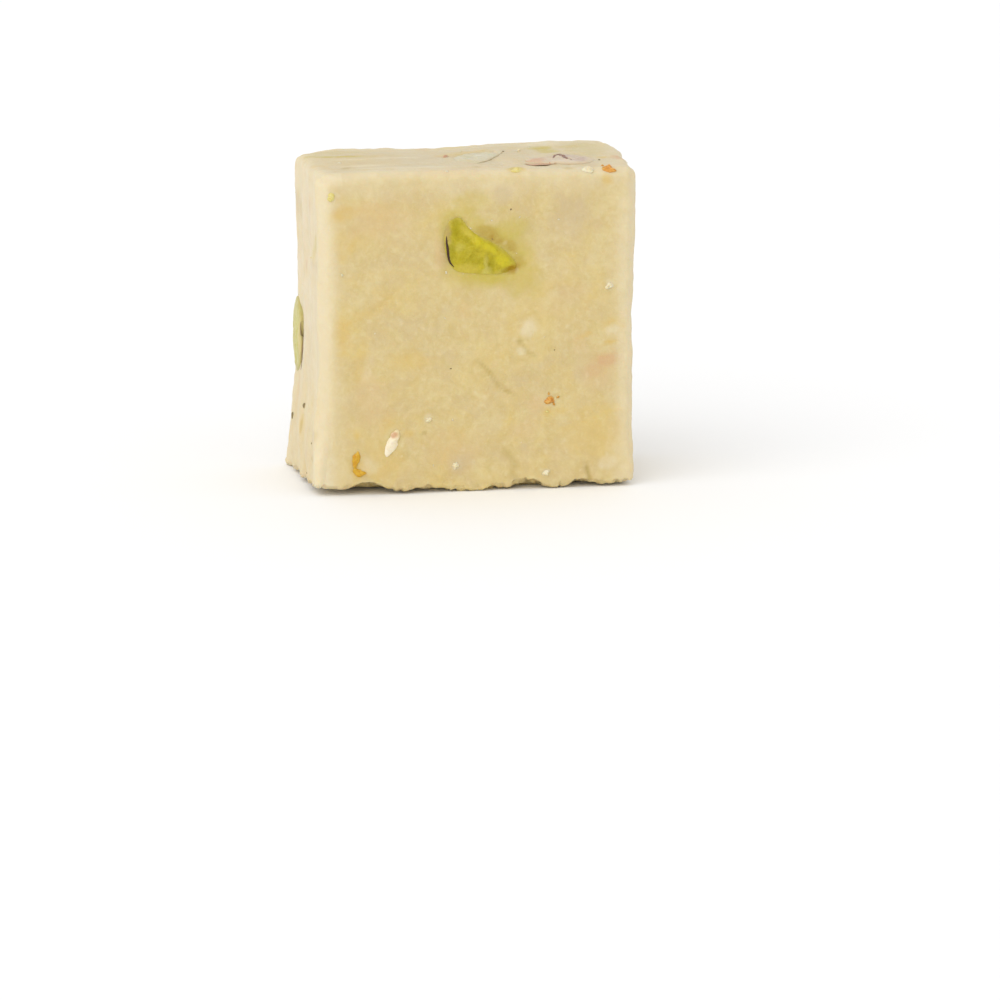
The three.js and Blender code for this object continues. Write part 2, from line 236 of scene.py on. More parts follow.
# A mark that is stored on the surface, broken up by noise so that its border frays
def makeFraying():
    tree, given, spot, scale, result = newGroup(
        "frayedMark", "Mask", "Float", Mark="Float", Scale="Float", Fray="Float")
    centred = maths(tree, "SUBTRACT", cloud(tree, spot, scale, detail=3.0, roughness=0.65)["Fac"], 0.5)
    frayed = maths(tree, "MULTIPLY_ADD", centred, given["Fray"], 1.0)
    feed(tree, result, maths(tree, "MULTIPLY", given["Mark"], frayed, use_clamp=True))
    return tree


groups = {"mottling": makeMottling(), "flecks": makeFlecks(), "grain": makeGrain(), "fraying": makeFraying()}
print("node groups made:", len(groups))

# What a look has where it says nothing else
plainLook = {
    "marks": {}, "flecks": (), "grain": (0.1, 0.4, 0.02), "roughness": (0.4, 0.6), "glow": (0.1, 0.4),
    "gloss": 0.5,
}
# What all foods share: how much they bend light, and that red goes deepest into them
waxy = {"IOR": 1.45, "Subsurface Radius": (1.0, 0.62, 0.3)}


# A food material from its look. Colours are sRGB, and lengths of patterns are in millimetres.
# base: the colour under all others
# mottle: colour, length, share and swirl, if any, of each mottling over it
# marks: colour, strength, fray and its length for each of the surface's own marks, laid on in this order
# flecks: colour, length, size, rarity and strength
# grain: length, crumbs and depth; glow: share and depth; roughness: on the grain's low and high parts
def foodMaterial(name, look):
    look = {**plainLook, **look}
    material = bpy.data.materials.new(name)
    material.use_nodes = True
    tree = material.node_tree
    tree.nodes.clear()
    spot = add(tree, "TexCoord", {}).outputs["Object"]

    # What a group puts out, its pattern at a length in millimetres
    def useGroup(kind, length, **inputs):
        inputs = {"Place": spot, "Scale": 1 / (length * mm), **inputs}
        return add(tree, "Group", inputs, node_tree=groups[kind]).outputs[0]

    paint = colour(*look["base"])
    for second, length, share, *swirl in look["mottle"]:
        paint = useGroup(
            "mottling", length, First=paint, Second=colour(*second), Share=share, Swirl=sum(swirl))
    for mark, (tint, strength, fray, length) in look["marks"].items():
        stored = add(tree, "Attribute", {}, attribute_name=mark).outputs["Fac"]
        mask = useGroup("fraying", length, Mark=stored, Fray=fray)
        paint = mixed(tree, maths(tree, "MULTIPLY", mask, strength), paint, colour(*tint))
    for tint, length, size, rarity, strength in look["flecks"]:
        mask = useGroup("flecks", length, Size=size, Rarity=rarity)
        paint = mixed(tree, maths(tree, "MULTIPLY", mask, strength), paint, colour(*tint))

    length, crumbs, depth = look["grain"]
    height = useGroup("grain", length, Crumbs=crumbs)
    bump = add(tree, "Bump", {"Height": height, "Strength": 1.0, "Distance": depth * mm})
    smooth, rough = look["roughness"]
    shine = add(tree, "MapRange", {"Value": height, "To Min": smooth, "To Max": rough})
    glow, glowDepth = look["glow"]
    shader = add(tree, "BsdfPrincipled", {
        "Base Color": paint, "Roughness": shine.outputs["Result"], "Normal": bump.outputs["Normal"],
        "Subsurface Weight": glow, "Subsurface Scale": glowDepth * mm, "Specular IOR Level": look["gloss"],
        **waxy,
    })
    add(tree, "OutputMaterial", {"Surface": shader.outputs["BSDF"]})
    return material


# Meshes

# Faces of a ball of rings between two poles. Points are the first pole, the rings in turn and the last pole.
def ballFaces(rings, around):
    ring = 1 + np.arange(rings)[:, None] * around
    near, far = np.arange(around), (np.arange(around) + 1) % around
    low, high = ring[:-1], ring[1:]
    walls = np.stack(np.broadcast_arrays(low + near, low + far, high + far, high + near), axis=-1)
    last = 1 + rings * around
    first = np.stack([np.zeros(around, int), 1 + far, 1 + near], axis=-1)
    cap = np.stack([ring[-1] + near, ring[-1] + far, np.full(around, last)], axis=-1)
    return [walls.reshape(-1, 4), first, cap]


# A new object of the scene from its mesh, lamp or camera
def newObject(name, data):
    made = bpy.data.objects.new(name, data)
    bpy.context.scene.collection.objects.link(made)
    return made


# A piece from one or more shapes in millimetres, with their marks stored on its points. It rides on the body
# and stands for the node that it replaces.
def putPiece(name, shapes, material, node="bite_body"):
    points = np.concatenate([shape["points"] for shape in shapes])
    lists, count = [], 0
    for shape in shapes:
        lists.extend(group + count for group in shape["faces"])
        count += len(shape["points"])
    corners = np.concatenate([group.ravel() for group in lists])
    sizes = np.concatenate([np.full(len(group), group.shape[1]) for group in lists])
    mesh = bpy.data.meshes.new(name)
    mesh.vertices.add(count)
    mesh.vertices.foreach_set("co", (points * mm).astype(np.float32).ravel())
    mesh.loops.add(len(corners))
    mesh.loops.foreach_set("vertex_index", corners.astype(np.int32))
    mesh.polygons.add(len(sizes))
    mesh.polygons.foreach_set("loop_start", (np.cumsum(sizes) - sizes).astype(np.int32))
    mesh.polygons.foreach_set("use_smooth", np.ones(len(sizes), bool))
    mesh.update(calc_edges=True)
    for mark in shapes[0].get("marks", {}):
        values = np.concatenate([shape["marks"][mark] for shape in shapes])
        mesh.attributes.new(mark, "FLOAT", "POINT").data.foreach_set("value", values.astype(np.float32))
    mesh.materials.append(material)
    piece = newObject(name, mesh)
    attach(piece, "root")
    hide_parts(node)
    print("piece", name, "with", len(sizes), "faces")


# The block of dough

dough = {
    "size": (31, 16, 31.55),  # width, depth and height of the cut block
    "steps": (160, 78, 155),  # grid steps along them
    "crowding": 0.25,  # how much closer the steps lie near the edges
    "edgeRadius": 0.85,
    "wornTopRight": 0.1,  # how much further the handled edges are worn down
    "wornBackRight": 1.5,
    "softFrontLeft": 0.85,
    "crispFoot": 0.4,  # how much less the cut lower edges are rounded
    "cornerShift": {  # (right, back, top) corner: how far it stands from that of a true box
        (0, 0, 1): (0.1, 0, -0.25),
        (1, 0, 1): (-0.4, 0, -0.3),
        (0, 0, 0): (0.25, 0, 1.05),
        (1, 0, 0): (-0.4, 0, 0.65),
        (0, 1, 1): (-0.15, 0, 0.1),
        (1, 1, 1): (0.55, 0.2, 0.65),
        (0, 1, 0): (-0.3, 0, 0.2),
        (1, 1, 0): (0, 0, 0.3),
    },
    "settle": (0.3, 0.6),  # how far it sinks under its own weight, and how much more its foot's middle does
    "slump": {"rise": 0.65, "height": 11, "fullBelow": 3},  # the bulge low on the left side
    # Unevenness, as height, length and place in the noise of each wave
    "waves": ((0.2, 9, 0), (0.1, 3.2, 50)),
    "crumb": ((0.035, 1.3, 9), (0.02, 0.6, 9), (0.012, 0.33, 9)),
    "brokenFoot": ((0.16, 0.9, 31), (0.13, 0.42, 31)),  # of the lower edges
    "brokenReach": 1.2,  # how far up it reaches
    "wornEdges": ((0.12, 1.6, 47), (0.07, 0.7, 47)),  # of all other edges
    "wornReach": 2.2,
    "ridge": {"height": 0.13, "pitch": 4.3, "wander": 1.5, "length": 8},  # knife marks down both ends
    "notch": {"height": 0.35, "length": 1.9, "reach": 1.6, "inward": 3.2},  # crumbled lower edge
    "frontNotches": ((-10.9, 1.3, 0.85), (4.8, 1.5, 0.75), (9.9, 1.2, 0.5)),  # across, width, height
    "dents": (  # place, reach and rise
        ((-15.5, 7.5, 18.3), 1.8, -0.3),
        ((-15.5, 0, 24), 4, -0.15),
        ((-15.5, 8, 31.5), 2, -0.6),
        ((1.8, -8, 10.2), 1.2, -0.12),
        ((5, 8, 9), 5, -0.25),
        ((15.5, 0, 22), 5, -0.2),
        ((0, 8, 31.5), 6, -0.2),
    ),
    "streaks": (5, 0.5, 0.06),  # dragged along the top: length, width and height
    "scratches": (8, 0.45, 0.045),  # down both ends: length, width and height
    "nutClearance": 0.12,  # how far the dough lies below a nut inside its rim
    "nutLip": (0.04, 0.4),  # dough pressed up round a nut: height and width
    "nutLap": (0.8, 0.22),  # how unevenly it laps over the nut's rim: length and width of its tongues
    "nutPress": (0.1, 0.4),  # how far inside the rim it begins to give way, and has wholly given way
    "lumpFade": (0.1, 1.2),  # where a lump of its own begins to fade and ends, in half widths
    "teeth": ((1.3, 0.1), (0.6, 0.35), (0.38, 0.55)),  # small teeth along the foot: length and height
    "teethReach": 0.8,
}
half = np.array(dough["size"]) / 2


# Half a face's width, and where it begins and ends upwards
def faceSpan(face):
    reach = half[1] if face in ("left", "right") else half[0]
    return (reach, -half[1], half[1]) if face == "top" else (reach, 0, dough["size"][2])


# How much a share or a direction lies towards one side
def towards(side):
    return smoothRise(0.6, 1, side)


# A rise of the surface along its directions, which fades where it looks down
def raised(out, rise):
    return out * (rise * smoothRise(-0.9, -0.2, out[:, 2]))[:, None]


# The corners' shifts, each weighed by how near the point is to that corner along the three axes
def cornerMove(share):
    move = np.zeros_like(share)
    for corner, shift in dough["cornerShift"].items():
        signs = 2 * np.array(corner) - 1
        move += np.prod((1 + share * signs) / 2, axis=1)[:, None] * np.array(shift)
    return move


# The edge radius, with more of it towards the worn edges and less at the foot, by shares that rise smoothly
# near them
def edgeRadiusAt(share):
    u, v, w = share.T
    right, left, top, foot = (towards(side) for side in (u, -u, w, -w))
    radius = dough["edgeRadius"] + dough["wornTopRight"] * right * top
    radius += dough["wornBackRight"] * right * top * smoothRise(0.2, 1, v)
    radius += dough["softFrontLeft"] * left * towards(-v) * (1 - foot)
    return radius - dough["crispFoot"] * foot


# Broad waves of noise, a sine across both ends for the knife's ridges, the slumped left side, and a
# bell-shaped dent or swelling at each place of the list
def broadRelief(point, out):
    rise = ripples(point, dough["waves"])
    ridge = dough["ridge"]
    wander = ridge["wander"] * noise(columns(7, 3, point[:, 2] / ridge["length"]))
    wave = np.sin(2 * np.pi * (point[:, 1] + wander) / ridge["pitch"])
    rise += ridge["height"] * towards(np.abs(out[:, 0])) * wave
    slump = dough["slump"]
    low = smoothRise(-slump["height"], -slump["fullBelow"], -point[:, 2])
    rise += slump["rise"] * smoothRise(0.3, 1, -out[:, 0]) * low
    for spot, reach, height in dough["dents"]:
        rise += height * np.exp(-np.sum((point - np.array(spot)) ** 2, axis=1) / reach**2)
    return rise


# The block without its finer crumb. A point of a true box, given by shares from -1 to 1, is moved in to the
# rounded box, then shifted with the corners, settled, raised by the broad relief and notched at its foot.
def doughForm(share):
    u, v, w = share.T
    radius = edgeRadiusAt(share)[:, None]
    core = np.clip(share * half, radius - half, half - radius)
    out = share * half - core
    out /= np.linalg.norm(out, axis=1, keepdims=True)
    point = core + out * radius + cornerMove(share)
    inAll, inMiddle = dough["settle"]
    point[:, 2] += half[2] - inAll - inMiddle * (1 - u**2) * (1 - w) / 2
    point += raised(out, broadRelief(point, out))
    notch = dough["notch"]
    low = smoothRise(-notch["reach"], 0, -point[:, 2])
    along = columns(point[:, 0] / notch["length"], point[:, 1] / notch["length"], 3)
    crumbled = notch["height"] * np.maximum(0, noise(along))
    for across, width, height in dough["frontNotches"]:
        crumbled += height * bell(point[:, 0] - across, width) * towards(-v)
    inward = np.minimum(half[0] * (1 - np.abs(u)), half[1] * (1 - np.abs(v)))
    point[:, 2] += low * crumbled * (1 - smoothRise(0.4, 1, inward / notch["inward"]))
    return point, out


# Finer relief: noise at ever shorter lengths everywhere, noise drawn out along X on the top and along Z down
# both ends, and rougher ones at the foot and along all other edges
def fineRelief(point, out):
    rise = ripples(point, dough["crumb"])
    length, width, height = dough["streaks"]
    dragged = noise(columns(point[:, 0] / length, point[:, 1] / width, 4))
    rise += height * dragged * towards(out[:, 2])
    length, width, height = dough["scratches"]
    cut = noise(columns(point[:, 1] / width, point[:, 2] / length, np.sign(point[:, 0])))
    rise += height * cut * towards(np.abs(out[:, 0]))
    foot = smoothRise(-dough["brokenReach"], -0.1, -point[:, 2])
    rise += foot * ripples(point, dough["brokenFoot"])
    return rise + nearEdge(point, dough["wornReach"]) * ripples(point, dough["wornEdges"])


# How near a point lies to an edge of the block other than its lower ones: 1 there, and 0 from reach onwards.
# The edge's distance is the second smallest of those to the block's sides, its top and its front or back.
def nearEdge(point, reach):
    middle = np.array([0, 0, dough["size"][2] / 2])
    gaps = np.abs(half - np.abs(point - middle))
    gaps[:, 2] = np.abs(dough["size"][2] - dough["settle"][0] - point[:, 2])
    return 1 - smoothRise(0, reach, np.sort(gaps, axis=1)[:, 1])


# Where places on a face lie on a true box, as shares from -1 to 1
def facePlaces(face, across, up):
    right, upward, out = faceAxes(face)
    spot = np.multiply.outer(np.atleast_1d(across), right) + np.multiply.outer(np.atleast_1d(up), upward)
    if face != "top":
        spot[:, 2] -= half[2]
    return spot / half + out


# Directions turned about the third of them by degrees
def spun(axes, degrees):
    c, s = np.cos(np.radians(degrees)), np.sin(np.radians(degrees))
    return np.column_stack(axes) @ np.array([[c, -s, 0], [s, c, 0], [0, 0, 1]])


# A place on a face of the dough's form, or proud of it, and the directions of a piece that is set there,
# turned by degrees
def seat(face, at, turn, proud=0):
    axes = faceAxes(face)
    point, _ = doughForm(facePlaces(face, *at))
    return {"point": point[0] + axes[2] * proud, "axes": spun(axes, turn)}


# A push out of a seat's place by each point's rise
def outwards(place, rise):
    return np.multiply.outer(rise, place["axes"][:, 2])


# Points as seen from a seat: x, y and z along its own directions
def seenFrom(place, point):
    return ((point - place["point"]) @ place["axes"]).T


# The nuts: at is across and up the face, proud how far the rim stands out of the dough's form, and outline
# runs round the cut from the nut's middle. sink is the depth below the rim, crown the height above it and
# rough the broken face's unevenness. creases are (from, to, width, height) across that face, marks are (mark,
# x, y, length, width, turn, strength) on it, and halo is how strongly it stains the dough.
nuts = {
    "pistachio_front": {
        "face": "front", "at": (-0.5, 23.7), "turn": 0, "proud": -0.1,
        "sink": 2.6, "crown": 0.35, "rough": 0.16,
        "outline": ((-1.7, 3.7), (-2.7, 2.4), (-2.6, 0.2), (-1.8, -1.6), (0.4, -2.1),
                    (3.2, -2.1), (4.3, -1.5), (3, 0.3), (0.3, 2)),
        "creases": (((-1.1, 2.4), (0.5, 1), 0.4, 0.14), ((0.5, 1), (3.6, -0.8), 0.42, 0.18),
                    ((1.6, -0.2), (1.8, -1.9), 0.22, -0.16), ((1.1, -0.4), (1.2, -1.9), 0.34, 0.08),
                    ((-0.9, 1.3), (0.4, -0.2), 0.25, -0.1), ((3.1, -1.95), (3.7, -1.75), 0.3, -0.4),
                    ((-2.1, 0.9), (-1, 0.3), 0.3, 0.08), ((-1.3, -0.6), (0.2, -1.3), 0.3, 0.08),
                    ((-2.2, 1.7), (-0.9, 1.9), 0.25, -0.08)),
        # The bright spots along the long ridge are partly painted highlight, the white streak on the small
        # ridge at x 1.32 is a painted highlight, and the deep streak in the groove at x 1.95 is painted shade
        "marks": (("skin", -2.4, 2, 0.8, 2.2, 0, 0.9), ("deep", -1.62, 2.2, 0.8, 2.3, 0, 0.85),
                  ("deep", -1.68, 2.8, 0.9, 1, 0, 1), ("white", -1.2, 0.5, 1, 0.9, 0, 0.45),
                  ("dark", -2.1, 0.6, 0.9, 1.9, 0, 0.7), ("deep", -1.85, -0.35, 0.9, 1.7, 0, 0.7),
                  ("deep", -0.4, 1.15, 2.2, 0.45, -45, 0.7),
                  ("pale", -0.4, 1.9, 2, 0.7, -40, 0.8), ("brightAndRidgeHighlight", 1, 0.9, 3.4, 0.6, -36, 1),
                  ("deep", -0.1, -0.7, 2.6, 1.3, 0, 0.5), ("pale", -0.5, -1.65, 3.4, 1.3, -8, 1),
                  ("white", 1.32, -1.2, 0.5, 2.2, 0, 0.5), ("white", 1.35, -1.85, 1, 0.8, 0, 0.7),
                  ("deep", 1.95, -1.1, 0.5, 1.9, 4, 0.8), ("brightAndRidgeHighlight", 3, -0.85, 2, 1.1, -32, 1),
                  ("brown", 3.85, -1.8, 1.5, 1.05, 18, 1)),
        "halo": 0.6,
    },
    "pistachio_left": {
        "face": "left", "at": (-5.4, 13.6), "turn": -3, "proud": -0.15,
        "sink": 2.4, "crown": 0.3, "rough": 0.05,
        "outline": ((0.3, 3.9), (-1.6, 2.6), (-2.1, -0.3), (-1.5, -2.7),
                    (0.2, -3.8), (1.9, -2.4), (2.7, 0.2), (2.1, 2.6)),
        "creases": (((0.1, 3), (0.3, -2.8), 0.3, -0.16), ((-1.2, 1.8), (-1, -1.6), 0.4, 0.08),
                    ((1.3, 1.6), (1.6, -1.4), 0.4, 0.08)),
        "marks": (("brightAndRidgeHighlight", 0.3, 2.6, 1.6, 1.8, 0, 0.7), ("dark", 0.2, -3.2, 2.2, 1.6, 0, 0.6),
                  ("pale", 2.4, -0.6, 0.8, 5.4, 0, 0.7)),
    },
    "pistachio_top": {
        "face": "top", "at": (1.2, 0.2), "turn": -32, "proud": -0.1,
        "sink": 1.8, "crown": 0.2, "rough": 0.06,
        "outline": ((0, 3.5), (-1.7, 2.1), (-1.9, -1.2), (-0.5, -3.4), (1.2, -2.9), (1.9, 0), (1.3, 2.6)),
        "creases": (((0.2, 2.6), (-0.4, -2.2), 0.3, -0.1),),
        "marks": (("dark", -1, 1, 1.6, 2.2, 0, 0.6), ("brightAndRidgeHighlight", 0.2, 0.6, 1.4, 2.4, 0, 0.8)),
    },
    "almond_top": {
        "face": "top", "at": (9, -2.6), "turn": -8, "proud": -0.1,
        "sink": 2.1, "crown": 0.3, "rough": 0.1,
        "outline": ((-3.4, -0.4), (-2.9, -1.5), (0.2, -2.5), (2.6, -2.1),
                    (3.3, 0.2), (2.1, 2.2), (0.3, 2.9), (-1, 1.4)),
        "creases": (((-1.8, 0.2), (0.6, 1.9), 0.35, 0.1), ((0.9, -1.2), (2.2, 0.8), 0.3, -0.1)),
        "marks": (("skin", -2.5, -1.2, 2.2, 1.9, 10, 1), ("brightAndRidgeHighlight", 0.2, -1.9, 2.4, 1, 0, 0.8),
                  ("dark", 1.9, -1.2, 1.5, 3, 0, 0.8), ("dark", 0.8, 0.5, 1.6, 1.6, 0, 0.8)),
    },
    "pistachio_back": {
        "face": "back", "at": (5.5, 21.5), "turn": 38, "proud": -0.1,
        "sink": 2.6, "crown": 0.4, "rough": 0.2,
        "outline": ((0, 4.4), (-2, 2.6), (-2.4, -1), (-1, -3.9), (1.1, -3.6), (2.3, -0.6), (1.8, 2.7)),
        "creases": (((0.2, 3.3), (-0.2, -2.9), 0.3, -0.26), ((1, 1.6), (1.3, -1.8), 0.35, 0.2),
                    ((-1.6, 1.8), (-0.4, 0.9), 0.3, 0.16), ((-1.8, -1.2), (-0.6, -0.4), 0.3, 0.18)),
        "marks": (("pale", 0.6, -2.6, 1.6, 2, 0, 0.8), ("brightAndRidgeHighlight", 1.1, 0.8, 1, 3, 0, 0.8),
                  ("dark", -1.2, 0.6, 1.4, 2.6, 0, 0.7)),
        "halo": 0.8,
    },
    "almond_back": {
        "face": "back", "at": (-7.2, 10.8), "turn": -52, "proud": -0.1,
        "sink": 1.9, "crown": 0.3, "rough": 0.12,
        "outline": ((0, 4.3), (-1.5, 1.6), (-1.6, -2), (-0.5, -3.8), (1.2, -3.1), (1.6, 0.9)),
        "creases": (((0.1, 3), (0.2, -2.7), 0.25, -0.12), ((-1.1, 0.6), (0, -0.6), 0.3, 0.12)),
        "marks": (("brightAndRidgeHighlight", 0.5, 1.6, 1.2, 2.6, 0, 0.8), ("rimmed", 0.3, -2.8, 1.4, 1.4, 0, 0.8)),
    },
    "pistachio_right": {
        "face": "right", "at": (-1.8, 17.4), "turn": 14, "proud": -0.1,
        "sink": 2.3, "crown": 0.35, "rough": 0.2,
        "outline": ((-1.2, 3.1), (-2.5, 1.2), (-2.2, -1.4), (-0.2, -2.7), (2.4, -1.9), (2.6, 0.6),
                    (0.9, 2.2)),
        "creases": (((-1.4, 1.2), (1.9, -0.8), 0.4, 0.22), ((0.2, -0.4), (0.4, -2.2), 0.25, -0.2),
                    ((-1.8, -0.6), (-0.6, 0.2), 0.3, 0.12)),
        "marks": (("brightAndRidgeHighlight", 0.3, 0.2, 3.4, 0.8, -30, 0.9), ("pale", -0.8, -1.7, 1.8, 1, 0, 0.9),
                  ("dark", -1.5, 0.9, 1.2, 2, 0, 0.6)),
        "halo": 0.8,
    },
}
nutForm = {
    "fullness": 0.5,  # from 0, flanks of a lens, to 1, a straight wall
    "lump": 1.6,  # length of the broken face's unevenness
    "finer": ((0.8, 0.35), (0.42, 0.3), (0.24, 0.16)),  # length and share of its finer ones
    "leastRough": 0.1,  # what these have beyond the nut's own roughness
    "steps": (150, 10, 44),  # round the rim, below it and above it
    # Unevenness of the rimmed part and of the spots, as height, length and place in the noise
    "rimWarp": ((0.1, 0.9, 0),),
    "spotWarp": ((0.3, 0.5, 0),),
}
for nut in nuts.values():
    nut["seat"] = seat(nut["face"], nut["at"], nut["turn"], nut["proud"])
    rim = smoothCurve(nut["outline"], 720, closed=True)
    bearing = np.arctan2(rim[:, 1], rim[:, 0]) % (2 * np.pi)
    order = bearing.argsort()
    nut["bearing"], nut["radius"] = bearing[order], np.hypot(*rim[order].T)


# How far out the rim lies in the direction of each point of a nut's own plane
def rimAt(nut, x, y):
    return np.interp(np.arctan2(y, x) % (2 * np.pi), nut["bearing"], nut["radius"], period=2 * np.pi)


# A nut's broken face above its rim: noise, finer noises, and a bell-shaped ridge or groove along each crease
def fleshRelief(nut, x, y):
    rise = nut["rough"] * noise(columns(x / nutForm["lump"] + 20, y / nutForm["lump"], 5))
    for length, share in nutForm["finer"]:
        rise += share * (nutForm["leastRough"] + nut["rough"]) * noise(columns(x / length, y / length, 8))
    spots = columns(x, y)
    for start, end, width, height in nut["creases"]:
        start, along = np.array(start), np.subtract(end, start)
        t = np.clip((spots - start) @ along / (along @ along), 0, 1)
        distance = np.linalg.norm(spots - start - t[:, None] * along, axis=1)
        rise += height * bell(distance, width)
    return rise


# Height of a nut's face over its own plane: its crown and relief times the root of 1 - s^4, where s is the
# share of the way out to the rim
def nutHeight(nut, x, y):
    s = np.minimum(np.hypot(x, y) / rimAt(nut, x, y), 1)
    level = np.sqrt(1 - s ** (2 / (1 - nutForm["fullness"])))
    return level * (nut["crown"] + fleshRelief(nut, x, y))


# Small pieces fused to the dough, as in the solids: kind, face, place across and up, length and width, turn
# and rise
bits = (
    ("doughLump", "front", (4.6, 15.9), (2.4, 1.7), 30, 0.12),
    ("paleGrain", "front", (13, 19.9), (0.7, 0.6), 0, 0.22),
    ("paleGrain", "front", (-2.2, 2.65), (0.7, 0.6), 40, 0.22),
    ("paleGrain", "front", (6.8, 1.7), (0.7, 0.6), 20, 0.22),
    ("paleGrain", "front", (-4.9, 7.3), (0.6, 0.5), 0, 0.18),
    ("yellowCrumb", "front", (-14.2, 29.3), (1, 0.7), 70, 0.2),
    ("orangeCrumb", "front", (7.2, 8.8), (1.1, 0.7), 12, 0.2),
    ("orangeCrumb", "top", (12.95, -7.75), (1.5, 1), -20, 0.3),
    ("paleGrain", "top", (10.9, -7.6), (1.1, 0.8), -30, 0.2),
    ("redFleck", "top", (-1.75, 0.6), (0.9, 0.5), 70, 0.15),
    ("yellowCrumb", "top", (4, -7.6), (1.3, 0.8), 5, 0.12),
    ("brownSpeck", "left", (-4.8, 5.5), (0.7, 0.5), 80, 0.15),
    ("brownSpeck", "left", (-0.3, 7.2), (0.6, 0.4), 80, 0.12),
)

# Further pieces strewn over the back and the right side, as in the solids
strewn = {
    "seed": 11,
    "countOnFace": {"back": 12, "right": 7},
    "length": (0.6, 1.9),
    "slimness": (0.4, 0.8),
    "rise": (0.12, 0.3),
    "clearOfNut": 5.2,
    "clearOfEdge": 2,
    "attemptsEach": 40,
    "kindsOnFace": {
        "back": ("paleGrain", "yellowCrumb", "doughLump", "orangeCrumb", "paleGrain", "redFleck",
                 "doughLump"),
        "right": ("doughLump", "paleGrain", "orangeCrumb", "doughLump", "yellowCrumb"),
    },
}

# Bits of the solids that are drawn along a path: kind, face, place in the solid, then the true path across
# and up the face, its widths along it and its height
fusedBands = (
    ("sliver", "front", (-8.6, 4.8),
     ((-7.86, 6.3), (-8.13, 5.7), (-8.45, 4.95), (-8.82, 4.25), (-8.98, 3.75)),
     (0.75, 1.1, 0.9, 1.1, 0.95, 0.7, 0.4), 0.42),
    ("strand", "front", (-12, 3), ((-11.6, 4.4), (-11.68, 3.9), (-11.98, 3.35), (-11.98, 2.6)),
     (0.2, 0.5, 0.85, 0.7, 0.4), 0.4),
    ("strand", "front", (-11.6, 1.85), ((-12.05, 2.7), (-11.85, 2.35), (-11.45, 2.2), (-10.85, 2.25)),
     (0.4, 0.6, 0.7, 0.5, 0.25), 0.4),
)


# The solids' own strewn pieces: seeded draws of a place, kept clear of the nuts on its face, of other pieces
# and of the edges, then a length, a slimness, a turn and a rise
def strewnBits():
    turns = 0

    # The next lattice value, as one from low to high
    def draw(low, high):
        nonlocal turns
        turns += 1
        return low + (high - low) * (1 + float(latticeValue(strewn["seed"], turns, 0)[0])) / 2

    clear, placed = strewn["clearOfEdge"], []
    for face, count in strewn["countOnFace"].items():
        reach, bottom, top = faceSpan(face)
        taken = [(nut["at"], strewn["clearOfNut"]) for nut in nuts.values() if nut["face"] == face]
        taken += [(at, clear) for _, bitFace, at, *_ in (*bits, *fusedBands) if bitFace == face]
        found, attempt = 0, 0
        while found < count and attempt < strewn["attemptsEach"] * count:
            attempt += 1
            at = (draw(clear - reach, reach - clear), draw(bottom + clear, top - clear))
            if all(np.hypot(at[0] - other[0], at[1] - other[1]) > room for other, room in taken):
                length = draw(*strewn["length"])
                size = (length, length * draw(*strewn["slimness"]))
                kind = strewn["kindsOnFace"][face][found % len(strewn["kindsOnFace"][face])]
                placed.append((kind, face, at, size, draw(0, 180), draw(*strewn["rise"])))
                taken.append((at, clear))
                found += 1
    return placed


# The shares of a true box for places across and up a face where the dough's form really lies there: the first
# guess is set right three times by how far it misses
def aimed(face, across, up):
    right, upward, _ = faceAxes(face)
    goal = columns(across, up).reshape(-1, 2)
    guess = goal.copy()
    for _ in range(3):
        point, _ = doughForm(facePlaces(face, *guess.T))
        guess += goal - columns(point @ right, point @ upward)
    return facePlaces(face, *guess.T)


placedBits = (*bits, *strewnBits())
# Of these, the lumps of dough: where each is set, its length, its width and its rise
doughLumps = [(seat(face, at, turn), *size, rise)
              for kind, face, at, size, turn, rise in placedBits if kind == "doughLump"]


# The dough's finished surface. Inside a nut's rim it is pressed down below the nut, and just outside the rim
# it stands up in a low lip. Its own lumps swell from it softly, drawn lines are bell-shaped grooves in it,
# and small teeth break its lower edge. Nothing reaches below the ground.
def doughSurface(boxShare):
    point, out = doughForm(boxShare)
    point += raised(out, fineRelief(point, out))
    lipHeight, lipWidth = dough["nutLip"]
    lapLength, lapWidth = dough["nutLap"]
    for nut in nuts.values():
        x, y, z = seenFrom(nut["seat"], point)
        lap = lapWidth * noise(columns(x / lapLength, y / lapLength, 2))
        inside = rimAt(nut, x, y) - np.hypot(x, y) + lap
        near = (inside > -1) & (np.abs(z) < 3)
        x, y, z, inside = x[near], y[near], z[near], inside[near]
        drop = np.maximum(0, z - nutHeight(nut, x, y) + dough["nutClearance"])
        drop *= smoothRise(*dough["nutPress"], inside)
        lip = lipHeight * bell(inside + lipWidth, lipWidth) * (inside < 0)
        point[near] += outwards(nut["seat"], lip - drop)
    for place, length, width, rise in doughLumps:
        x, y, z = seenFrom(place, point)
        swell = 1 - smoothRise(*dough["lumpFade"], 2 * np.hypot(x / length, y / width))
        point += outwards(place, rise * swell * (np.abs(z) < 2))
    for _, face, path, width, _, depth in doughLines:
        if depth:
            near, share, _ = besideLine(face, path, width, point, out)
            point[near] -= out[near] * (depth * share)[:, None]
    foot = 1 - smoothRise(0, dough["teethReach"], (1 + boxShare[:, 2]) * half[2])
    inward = (half[:2] * (1 - np.abs(boxShare[:, :2]))).min(axis=1)
    foot *= 1 - smoothRise(0.3, 1, inward / dough["notch"]["inward"])
    for length, height in dough["teeth"]:
        tooth = noise(columns(point[:, 0] / length, point[:, 1] / length, 6))
        point[:, 2] += foot * height * np.maximum(0, tooth)
    point[:, 2] = np.maximum(point[:, 2], 0)
    return point, out


